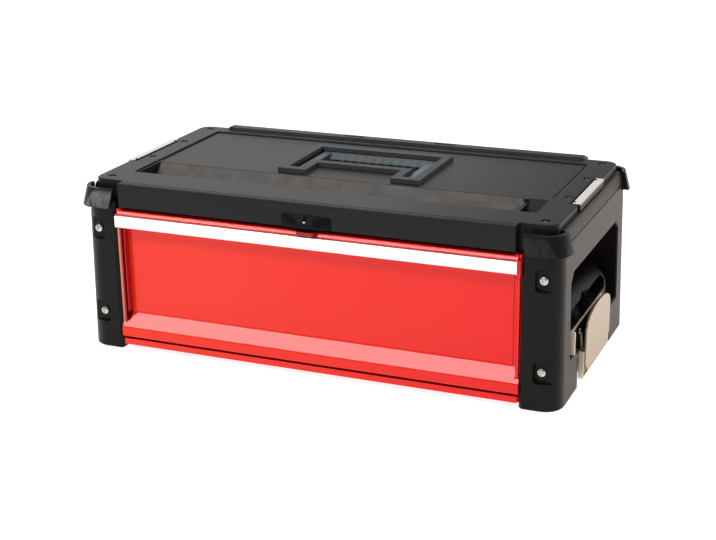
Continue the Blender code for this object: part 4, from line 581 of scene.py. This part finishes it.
# %% [markdown]
# ## Bare and plated metals
# The strip on the drawer is extruded aluminium, brushed along its length and clear anodised;
# brush lines are about 0.05 mm apart, drawn here at 0.4 mm. The latches are nickel over
# pressed steel: levers warm and satin, brackets and bails dull from tumbling and painted a
# lighter cream than the levers, as painted light where the post shades them; strikes bright.
# Screws are bright zinc, with the faint blue and yellow of their passivation, or black oxide
# in the cover. A grey plastic would be cheaper to draw, but a metal's colour is in what it
# mirrors. So all of them are fully metallic, and tint, roughness and pattern tell them apart.

# %% Drawn and plated metals
METAL_CLOUD_MM = 25


def drawn_metal(name, cool, warm, roughness, line_mm, stretch, relief=0.08):
    """A metal whose fine lines run along the axis of the largest stretch."""
    made, tree, shader, place = blank_finish(name)
    squeeze = put(tree, "ShaderNodeMapping",
                  {"Vector": place, "Scale": [1 / share for share in stretch]})
    lines = put(tree, "ShaderNodeTexNoise",
                {"Vector": squeeze.outputs[0], "Scale": 1 / (line_mm * MM), "Detail": 2.0})
    cloud = put(tree, "ShaderNodeTexNoise",
                {"Vector": place, "Scale": 1 / (METAL_CLOUD_MM * MM), "Detail": 2.0})
    colour = put(tree, "ShaderNodeMix",
                 {0: cloud.outputs["Fac"], 6: linear(cool), 7: linear(warm)}, data_type="RGBA")
    dull = put(tree, "ShaderNodeMapRange",
               {"Value": lines.outputs["Fac"], "To Min": roughness - 0.06,
                "To Max": roughness + 0.08})
    bump = put(tree, "ShaderNodeBump", {"Height": lines.outputs["Fac"], "Strength": relief,
                                        "Distance": line_mm * MM / 6})
    fill(shader, {"Base Color": colour.outputs[2], "Roughness": dull.outputs["Result"],
                  "Normal": bump.outputs["Normal"], "Metallic": 1.0})
    return made


anodised = drawn_metal("anodised_aluminium_brushed", "#F2F3F4", "#FAFAF9", 0.30, 0.4,
                       (60, 1, 1))
nickel = drawn_metal("satin_nickel_plate", "#B5A086", "#BDA991", 0.38, 0.5, (1, 1, 30))
# Painted light: the brackets' cream is lighter than the levers', for ears that lie in the post's
# shade.
bracket_nickel = drawn_metal("tumbled_nickel_bracket_painted_light_shade", "#F6E4CC", "#FBECD8", 0.55, 0.6,
                             (1, 1, 1))
strike_nickel = drawn_metal("bright_nickel_strike", "#C9BDB8", "#D4C9C4", 0.34, 0.4,
                            (1, 30, 1))
black_oxide = drawn_metal("black_oxide_screw", "#2A2A2B", "#343436", 0.45, 0.5, (1, 1, 1))
zinc = drawn_metal("bright_zinc_plate", "#BFC3C8", "#D6D2C6", 0.30, 0.9, (1, 1, 1), 0.3)
print("metals:", anodised.name, nickel.name, zinc.name)

# %% [markdown]
# ## The dark band of the bracket
# The flat band of each latch bracket lies in the housing's shade, so it is painted black, as
# painted shade, while its ear and top edge are painted bright, as painted light. One finish
# holds both, because the bracket is one pressed piece: a mask darkens what lies inside the
# band's limits.

# %% Painted shade on the band
# Where the painted shade is none and full, in millimetres
BAND_OUT = (242.6, 242.2)
BAND_TOP = (56.9, 56.5)
BAND_FRONT = (-81, -80)

# Painted shade: the band that lies in the housing's shade is darkened.
tree, _, spot, _ = coordinates(bracket_nickel)
recolour(bracket_nickel, region(tree, [(away(tree, spot["X"]), *BAND_OUT),
                                       (spot["Z"], *BAND_TOP), (spot["Y"], *BAND_FRONT)]),
         "#1E1B18")
print("band is dark below z", BAND_TOP[1], "mm")

# %% [markdown]
# ## Galvanised steel
# Slides, pins and the cross rail are dipped in molten zinc, which sets in flat crystals of
# about 5 mm. The eye gets dull grey spangles, each with its own tone and shine. Noise would
# blur them into clouds. Crystals that grow until they meet are just what a Voronoi pattern
# draws, so that one gives both tone and roughness.

# %% Galvanised steel
SPANGLE_MM = 5

slide_zinc, tree, shader, place = blank_finish("galvanised_steel_spangled")
spangle = put(tree, "ShaderNodeTexVoronoi", {"Vector": place, "Scale": 1 / (SPANGLE_MM * MM)})
tint = put(tree, "ShaderNodeSeparateColor", {"Color": spangle.outputs["Color"]})
colour = put(tree, "ShaderNodeMix",
             {0: tint.outputs["Red"], 6: linear("#A9AEB1"), 7: linear("#C3C7C9")},
             data_type="RGBA")
dull = put(tree, "ShaderNodeMapRange",
           {"Value": tint.outputs["Green"], "To Min": 0.34, "To Max": 0.50})
fill(shader, {"Base Color": colour.outputs[2], "Roughness": dull.outputs["Result"],
              "Metallic": 1.0})
print("slides and rails:", slide_zinc.name)

# %% [markdown]
# ## From solid to finished piece
# A CAD solid has razor edges. On the real part every edge has a radius, and that thin line
# of light is what makes a shape read as made. One way is to redraw each piece; but where
# the solid is right, a copy is enough: its triangles are dissolved into clean faces, and a
# bevel of the real radius runs round every edge.

# %% Rounded edges
BEVEL_ANGLE = 32
SHARP_ANGLE = 50


def piece_from(bm, name):
    """An object in the scene from a bmesh, in the frame's own coordinates."""
    mesh = bpy.data.meshes.new(name)
    bm.to_mesh(mesh)
    bm.free()
    mesh.shade_smooth()
    made = bpy.data.objects.new(name, mesh)
    bpy.context.scene.collection.objects.link(made)
    return made


def bake_modifiers(piece):
    """Gives a piece the mesh that its modifiers make, and clears them."""
    graph = bpy.context.evaluated_depsgraph_get()
    made = bpy.data.meshes.new_from_object(piece.evaluated_get(graph))
    made.name = piece.name
    piece.modifiers.clear()
    piece.data = made


def rounded_edges(piece, radius_mm, steps=2):
    """Rounds every edge sharper than the bevel angle, and keeps the flats flat."""
    bevel = piece.modifiers.new("edge_radius", "BEVEL")
    bevel.width = radius_mm * MM
    bevel.segments = steps
    bevel.limit_method = "ANGLE"
    bevel.angle_limit = math.radians(BEVEL_ANGLE)
    bevel.use_clamp_overlap = True
    bake_modifiers(piece)
    piece.data.shade_smooth()
    piece.data.set_sharp_from_angle(angle=math.radians(SHARP_ANGLE))
    flats = piece.modifiers.new("flat_faces", "WEIGHTED_NORMAL")
    flats.weight = 100
    flats.keep_sharp = True
    return piece


print("edges sharper than", BEVEL_ANGLE, "degrees are rounded")

# %% [markdown]
# ## Standing for a node
# Each piece has to move with a body of the frame. A piece that replaces a solid stands for
# its node as well; trim, which has no solid of its own, only rides on the body of the node
# that it sits on. Writing those calls for every piece would invite a slip, so three helpers
# hold them, and one more dissolves a solid's triangles into clean faces.

# %% Helpers for nodes
FLAT_ANGLE = 0.5


def add_trim(piece, finish, node):
    """Gives a piece its finish, and lets it ride on a node's body."""
    piece.data.materials.clear()
    piece.data.materials.append(finish)
    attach(piece, frame["nodes"][node]["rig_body"])
    return piece


def seat(piece, finish, node):
    """Lets a piece stand for a node, with its finish, on its body."""
    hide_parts(node)
    return add_trim(piece, finish, node)


def solid_of(node):
    """A node's solid as a bmesh with clean faces."""
    bm = bmesh.new()
    bm.from_mesh(frame["nodes"][node].data)
    bmesh.ops.remove_doubles(bm, verts=bm.verts[:], dist=MM / 100)
    bmesh.ops.dissolve_limit(bm, angle_limit=math.radians(FLAT_ANGLE), verts=bm.verts[:],
                             edges=bm.edges[:])
    return bm


def skin(node, finish, radius_mm, reshape=None, steps=2):
    """A copy of a node's solid with round edges, first reshaped where a function says how."""
    bm = solid_of(node)
    if reshape:
        reshape(bm, node)
    return seat(rounded_edges(piece_from(bm, f"{node}_skin"), radius_mm, steps), finish, node)


print("nodes in the frame:", len(frame["nodes"]))

# %% [markdown]
# ## The top fold of the drawer
# Over the aluminium strip the drawer's sheet leans back in a slope and then rises under the
# cover. The slope mirrors the sky as a pink line. The solid has a square fold there, and a
# large radius would be round where the sheet is flat. So the fold is cut into three lines,
# and those move to the foot of the slope, its shoulder and the top of the riser. The same is
# done on both faces of the sheet.

# %% Top fold
# Fold at y and z, height of the slope's foot, its shoulder at y and z, and the riser's top y
LIPS = [(-128.5, 148.7, 143.7, (-126.2, 146.8), -125.9),
        (-127.5, 147.7, 144.1, (-125.4, 146.6), -125.0)]
LIP_START = 0.6


def along(edge, y, z):
    """Whether an edge runs along X at this y and z, in millimetres."""
    return all(abs(v.co.y - y * MM) < MM / 10 and abs(v.co.z - z * MM) < MM / 10
               for v in edge.verts)


def slope_lip(bm, y, z, foot, shoulder, top):
    """Turns the square fold at y, z into a slope from foot to shoulder, and a riser to top."""
    line = [edge for edge in bm.edges if along(edge, y, z)]
    cut = bmesh.ops.bevel(bm, geom=line, offset=LIP_START * MM, segments=2, affect="EDGES")
    for vert in cut["verts"]:
        if abs(vert.co.y - y * MM) < MM / 100:
            vert.co.z = foot * MM
        elif abs(vert.co.z - z * MM) < MM / 100:
            vert.co.y = top * MM
        else:
            vert.co.y = shoulder[0] * MM
            vert.co.z = shoulder[1] * MM


print("slope is", round(LIPS[0][3][1] - LIPS[0][2], 1), "mm high")

# %% [markdown]
# ## The drawer front
# A press brake folds the front from one sheet: band, recessed face, sloping ledge, bottom
# return. Each fold keeps the radius of the tool, and those radii catch the soft box in long
# pink lines. A bevel on every edge would give each the same small radius. So the folds are
# picked by where they run, and rounded one by one, and only then come the fine sheet edges.

# %% Drawer front
# Fold at y and z, and its radius
FOLDS = [(-118.0, 38.0, 1.0), (-128.5, 24.0, 0.9), (-128.5, 13.5, 1.9)]


def fold_front(bm, node):
    """Slopes the top fold on both faces of the sheet, and rounds the other folds."""
    for lip in LIPS:
        slope_lip(bm, *lip)
    for y, z, radius in FOLDS:
        line = [edge for edge in bm.edges if along(edge, y, z)]
        bmesh.ops.bevel(bm, geom=line, offset=radius * MM, segments=5, profile=0.5,
                        affect="EDGES")
        print(node, "fold at y", y, "z", z, "radius", radius, "mm:", len(line), "edges")


skin("drawer_front", red_enamel, 0.25, fold_front)

# %% [markdown]
# ## The hasp tab
# A small red tab hangs over the strip in the middle, for a padlock to go through. It is
# punched and folded, and its red is painted dark, as painted shade under the black lug. It
# could be drawn from nothing, but the solid's outline is right, and only stands clear of the
# drawer's new slope. So its rear and its lower edge are moved until it lies on the slope, and
# its edges get the large radius that a punched and tumbled tab has.

# %% Hasp tab
TAB_FACE = -129.0
TAB_REAR = -126.8
TAB_BODY = 146.0
TAB_FOOT = 144.0


def lay_tab(bm, node):
    """Moves what lies behind the tab's face or below its body onto the drawer's lip."""
    for vert in bm.verts:
        if vert.co.y > TAB_FACE * MM:
            vert.co.y = TAB_REAR * MM
        if vert.co.z < TAB_BODY * MM:
            vert.co.z = TAB_FOOT * MM
    print(node, "reaches back to y", TAB_REAR, "mm")


skin("drawer_hasp_tab", tab_enamel, 0.9, lay_tab)

# %% [markdown]
# ## Wings of the drawer front
# At each end the sheet of the front is folded back, and a narrow wing closes the gap between
# it and the post. The left wing lies in shade and looks nearly black, the right one shares
# the red of the face. A wider front would clash with the posts, so each wing is a thin bar
# of its own. A bar is two equal outlines and the faces between them.

# %% Drawer wings
WING_SPAN = (202.1, 204.4)
WING_DEPTH = (-124.2, -123.2)
WING_BOTTOM = {"left": 27.0, "right": 40.0}
WING_TOP = 128.5
WING_FINISH = {"left": deep_enamel, "right": red_enamel}


def add_bar(bm, first, last):
    """Adds a closed bar whose two ends are outlines of corners in millimetres."""
    ends = [[bm.verts.new([value * MM for value in corner]) for corner in outline]
            for outline in (first, last)]
    bm.faces.new(ends[0])
    bm.faces.new(ends[1][::-1])
    for i in range(len(first)):
        j = (i + 1) % len(first)
        bm.faces.new((ends[0][j], ends[0][i], ends[1][i], ends[1][j]))
    bmesh.ops.recalc_face_normals(bm, faces=bm.faces[:])


for side, sign in SIDES.items():
    (x0, x1), (y0, y1) = WING_SPAN, WING_DEPTH
    corners = [(sign * x0, y0), (sign * x1, y0), (sign * x1, y1), (sign * x0, y1)]
    bm = bmesh.new()
    add_bar(bm, [(x, y, WING_BOTTOM[side]) for x, y in corners],
            [(x, y, WING_TOP) for x, y in corners])
    wing = rounded_edges(piece_from(bm, f"drawer_wing_{side}"), 0.2)
    add_trim(wing, WING_FINISH[side], "drawer_front")
    print(wing.name, "closes", round(x1 - x0, 1), "mm")

# %% [markdown]
# ## Shadow line over the drawer
# Above the sloped lip the drawer's sheet is folded back once more, deep in the gap under the
# cover, where no light falls. A darker colour on the lip alone would still mirror the floor.
# So a narrow strip of dull dark red, without a clear coat, is set there as painted shade, and
# gives the line that parts the drawer from the cover.

# %% Upper fold
FOLD_HALF = 202.0
FOLD_OUTLINE = [(-126.6, 146.9), (-126.0, 146.9), (-126.0, 148.6), (-126.6, 148.6)]


def long_bar(outline, half):
    """A bar along X with an outline of y and z, as a bmesh."""
    bm = bmesh.new()
    add_bar(bm, [(-half, y, z) for y, z in outline], [(half, y, z) for y, z in outline])
    return bm


# Painted shade: a strip of unlit dark red in the gap under the cover.
fold = rounded_edges(piece_from(long_bar(FOLD_OUTLINE, FOLD_HALF), "drawer_upper_fold_shadow_strip"), 0.05)
add_trim(fold, deep_enamel, "drawer_front")
print("fold is", 2 * FOLD_HALF, "mm long")

# %% [markdown]
# ## Hems of the chassis
# Beside the drawer stands the chassis' front hem, rolled over at its outer edge. On the left
# that roll is painted salmon next to the full red, as a painted highlight; on the right the
# post shades it, and it is painted a dark red, as painted shade. A mask could tint the flat
# flange, but it would catch no light along its edge. So a strip of its own, a third of a
# millimetre thick and sloped on both sides, carries each.

# %% Chassis hems
HEM_FACE = -125.0
HEM_THICKNESS = 0.35
HEM_ROLL = 0.5
HEM_HEIGHT = (20, 130)
HEM_X = {"left": (-208.6, -206.5), "right": (207.2, 208.4)}
# Left: a painted highlight; right: painted shade.
HEM_FINISH = {"left": hem_highlight_enamel, "right": deep_enamel}

for side, (x0, x1) in HEM_X.items():
    corners = [(x0, HEM_FACE), (x0 + HEM_ROLL, HEM_FACE - HEM_THICKNESS),
               (x1 - HEM_ROLL, HEM_FACE - HEM_THICKNESS), (x1, HEM_FACE)]
    bm = bmesh.new()
    add_bar(bm, *([(x, y, z) for x, y in corners] for z in HEM_HEIGHT))
    hem = rounded_edges(piece_from(bm, f"chassis_hem_{side}"), 0.1)
    add_trim(hem, HEM_FINISH[side], "chassis_shell")
    print(hem.name, "is", round(x1 - x0, 1), "mm wide")

# %% [markdown]
# ## Two ways to cut
# A groove is milled into a mould, and two finishes can meet on one moulding. Drawing such a
# solid anew would lose its other details, so it is cut instead: one helper takes a bar out
# of a piece, and the other parts a solid along a plane and closes the open side.

# %% Cutting
Y_AXIS, Z_AXIS = 1, 2


def cut_away(piece, low, high):
    """Takes a bar between two corners out of a piece."""
    bm = bmesh.new()
    bmesh.ops.create_cube(bm, size=1.0)
    for vert in bm.verts:
        for axis in range(3):
            vert.co[axis] = (low if vert.co[axis] < 0 else high)[axis] * MM
    bar = piece_from(bm, "groove_bar")
    cut = piece.modifiers.new("groove", "BOOLEAN")
    cut.operation = "DIFFERENCE"
    cut.solver = "EXACT"
    cut.object = bar
    bake_modifiers(piece)
    bpy.data.objects.remove(bar)


def halve(bm, axis, at, keep_upper):
    """Cuts a solid across an axis, keeps one part and closes it."""
    normal = [float(axis == k) for k in range(3)]
    bmesh.ops.bisect_plane(bm, geom=bm.verts[:] + bm.edges[:] + bm.faces[:], dist=MM / 100,
                           plane_co=[share * at * MM for share in normal], plane_no=normal,
                           clear_inner=keep_upper, clear_outer=not keep_upper)
    bmesh.ops.holes_fill(bm, edges=[edge for edge in bm.edges if edge.is_boundary])
    return bm


print("cutting helpers: cut_away, halve")

# %% [markdown]
# ## The cover
# The raised border of the cover meets its sunken panel in a narrow groove, which the eye
# reads as a black line on the left and along the rear. A darker colour would not do, because
# the deck's grey is mostly a mirrored sky, and paint cannot stop that. So the groove is cut
# for real, with three bars taken out of the moulding before its edges are rounded. The lug on
# the skirt is part of the same solid, but polished, so the solid is first parted at its root.

# %% Cover and lug
GROOVE_WIDTH = 2.4
GROOVE_FLOOR = 171.8
GROOVE_TOP = 174.2
PANEL_EDGE = 211.0
PANEL_REAR = 98.0
PANEL_FRONT = -30.0
GROOVES = [((-PANEL_EDGE, PANEL_FRONT), (-PANEL_EDGE + GROOVE_WIDTH, PANEL_REAR)),
           ((PANEL_EDGE - GROOVE_WIDTH, PANEL_FRONT), (PANEL_EDGE, PANEL_REAR)),
           ((-PANEL_EDGE, PANEL_REAR - GROOVE_WIDTH), (PANEL_EDGE, PANEL_REAR))]
LUG_ROOT = -128.85

cover = piece_from(halve(solid_of("top_cover"), Y_AXIS, LUG_ROOT, True), "top_cover_skin")
lug = piece_from(halve(solid_of("top_cover"), Y_AXIS, LUG_ROOT, False), "padlock_lug")
seat(rounded_edges(lug, 1.0, steps=3), lug_abs, "top_cover")
for (x0, y0), (x1, y1) in GROOVES:
    cut_away(cover, (x0, y0, GROOVE_FLOOR), (x1, y1, GROOVE_TOP))
seat(rounded_edges(cover, 0.7, steps=3), cover_abs, "top_cover")
print("cover has", len(cover.data.polygons), "faces after its grooves")

# %% [markdown]
# ## Eyelet of the padlock lug
# A small bright dome sits in the middle of the lug, where a padlock's shackle would rub. It
# is turned from a profile of four rings, closed flat in front and behind. A sphere pushed
# into the plastic would look alike from the front, but it has no brim to catch the light.

# %% Eyelet
EYELET_PROFILE = [(1.9, 0.0), (1.8, 0.35), (1.3, 0.7), (0.6, 0.9)]
EYELET_PLACE = (0.0, -132.2, 157.0)
EYELET_STEPS = 16

bm = bmesh.new()
x, y, z = EYELET_PLACE
turns = [2 * math.pi * k / EYELET_STEPS for k in range(EYELET_STEPS)]
rings = [[bm.verts.new(((x + radius * math.cos(turn)) * MM, (y - rise) * MM,
                        (z + radius * math.sin(turn)) * MM)) for turn in turns]
         for radius, rise in EYELET_PROFILE]
for inner, outer in zip(rings, rings[1:]):
    for k in range(EYELET_STEPS):
        n = (k + 1) % EYELET_STEPS
        bm.faces.new((inner[k], inner[n], outer[n], outer[k]))
bm.faces.new(rings[0])
bm.faces.new(rings[-1])
bmesh.ops.recalc_face_normals(bm, faces=bm.faces[:])
add_trim(piece_from(bm, "lug_eyelet"), slide_zinc, "top_cover")
print("eyelet is", 2 * EYELET_PROFILE[0][0], "mm across")

# %% [markdown]
# ## Ribs on the grip
# Low ribs across the sloping front of the grip stop the hand from slipping. A bump in the
# material would vanish at the grip's outline. So each rib is a small bar that follows the
# slope and stands half a millimetre proud, repeated every 10 mm.

# %% Grip ribs
RIB_PITCH = 10.0
RIB_HALF = 2.2
RIB_COUNT = 11
RIB_SLOPE = [(50.3, 168.2), (57.9, 172.95), (57.9, 173.45), (50.3, 168.9)]

bm = bmesh.new()
for k in range(RIB_COUNT):
    middle = (k - (RIB_COUNT - 1) / 2) * RIB_PITCH
    add_bar(bm, *([(x, y, z) for y, z in RIB_SLOPE]
                  for x in (middle - RIB_HALF, middle + RIB_HALF)))
add_trim(rounded_edges(piece_from(bm, "grip_ribs"), 0.2), rib_nylon, "carry_handle")
print(RIB_COUNT, "ribs over", (RIB_COUNT - 1) * RIB_PITCH, "mm")

# %% [markdown]
# ## The bottom rail and its shadow strip
# Where the drawer closes onto the bottom rail, a thin strip of unlit dark red stands in the
# seam as painted shade. From in front it fills the gap between the two with deep red, where a
# bare gap would show black. The rail's top is lowered a little below the solid's, so that the
# strip shows as a wider dark line.

# %% Rail and shadow strip
RAIL_TOP = 11.6
SEAM_SHADE_HALF = 207.5
SEAM_SHADE_OUTLINE = [(-127.6, 11.7), (-126.0, 11.7), (-126.0, 13.35), (-127.6, 13.35)]


def lower_rail(bm, node):
    """Brings the rail's top down."""
    for vert in bm.verts:
        vert.co.z = min(vert.co.z, RAIL_TOP * MM)
    print(node, "ends at z", RAIL_TOP, "mm")


skin("front_rail", red_enamel, 1.0, lower_rail, steps=3)
# Painted shade: a strip of unlit dark red in the seam over the rail.
lip = rounded_edges(piece_from(long_bar(SEAM_SHADE_OUTLINE, SEAM_SHADE_HALF), "rail_seam_shadow_strip"), 0.05)
add_trim(lip, deep_enamel, "front_rail")
print("shadow strip is", 2 * SEAM_SHADE_HALF, "mm long")

# %% [markdown]
# ## Strike plates
# Where the bail of the module above hooks on, a bright nickel plate lies on a bed of the
# cover's own black plastic. One finish with a mask could split them, but a bevel between the
# two shows as a fine dark line. So the solid, which holds both, is cut at the plate's
# underside and makes two pieces.

# %% Strikes
PLATE_UNDERSIDE = 174.3

for side in SIDES:
    node = f"strike_plate_{side}"
    for part, finish, upper in (("face", strike_nickel, True), ("bed", cover_abs, False)):
        bm = halve(solid_of(node), Z_AXIS, PLATE_UNDERSIDE, upper)
        seat(rounded_edges(piece_from(bm, f"strike_{part}_{side}"), 0.25), finish, node)
    print(node, "in two pieces")

# %% [markdown]
# ## Screw heads and bail arms
# Two shapes differ a little from their solids. The heads of the post screws show smaller in
# their pockets, so each is drawn in toward its own middle. The arms of the bails are hidden
# by the lever for most of their height on the real latch, so they end lower. The solids
# could be changed instead, but both changes are small and touch only how the pieces look.

# %% Small corrections
HEAD_SHARE = 0.86
ARM_TOP = 45.0
ARM_CUT = 20.0


def shrink_head(bm, node):
    """Draws a screw in toward its own axis."""
    low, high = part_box(node)
    for vert in bm.verts:
        vert.co.x += (1 - HEAD_SHARE) * ((low[0] + high[0]) / 2 - vert.co.x)
        vert.co.z += (1 - HEAD_SHARE) * ((low[2] + high[2]) / 2 - vert.co.z)


def shorten_arms(bm, node):
    """Moves the upper ends of a bail's arms down."""
    for vert in bm.verts:
        if vert.co.z > ARM_TOP * MM:
            vert.co.z -= ARM_CUT * MM


print("heads are drawn at", HEAD_SHARE, "of their width, arms", ARM_CUT, "mm shorter")

# %% [markdown]
# ## All the other pieces
# Every other solid already has its real shape, so what it needs is its finish and the radius
# of its edges: 0.8 mm on a large moulding, 0.3 mm on painted or plated sheet, less on a small
# turned part. A cell for each would say the same thing forty times. So one table holds them,
# by how their names begin.

# %% Skins
# Start of the names, finish, edge radius in millimetres, and how the solid is reshaped
SKINS = [
    ("end_frame", frame_abs, 0.8, None),
    ("carry_handle", grip_nylon, 1.2, None),
    ("chassis_shell", red_enamel, 0.3, None),
    ("back_panel", red_enamel, 0.3, None),
    ("drawer_box", red_enamel, 0.3, None),
    ("handle_strip", anodised, 0.5, None),
    ("top_cross_rail", slide_zinc, 0.2, None),
    ("cover_screw", black_oxide, 0.2, None),
    ("handle_pin", slide_zinc, 0.15, None),
    ("latch_bail", bracket_nickel, 0.3, shorten_arms),
    ("latch_bracket", bracket_nickel, 0.3, None),
    ("latch_housing", dark_abs, 0.5, None),
    ("latch_lever", nickel, 0.3, None),
    ("latch_pin", slide_zinc, 0.15, None),
    ("latch_screw", zinc, 0.3, None),
    ("post_screw", zinc, 0.3, shrink_head),
    ("slide_", slide_zinc, 0.15, None),
]

for start, finish, radius, reshape in SKINS:
    nodes = [node for node in sorted(frame["nodes"]) if node.startswith(start)]
    for node in nodes:
        skin(node, finish, radius, reshape)
    print(f"{start}: {len(nodes)} in {finish.name}, radius {radius} mm")
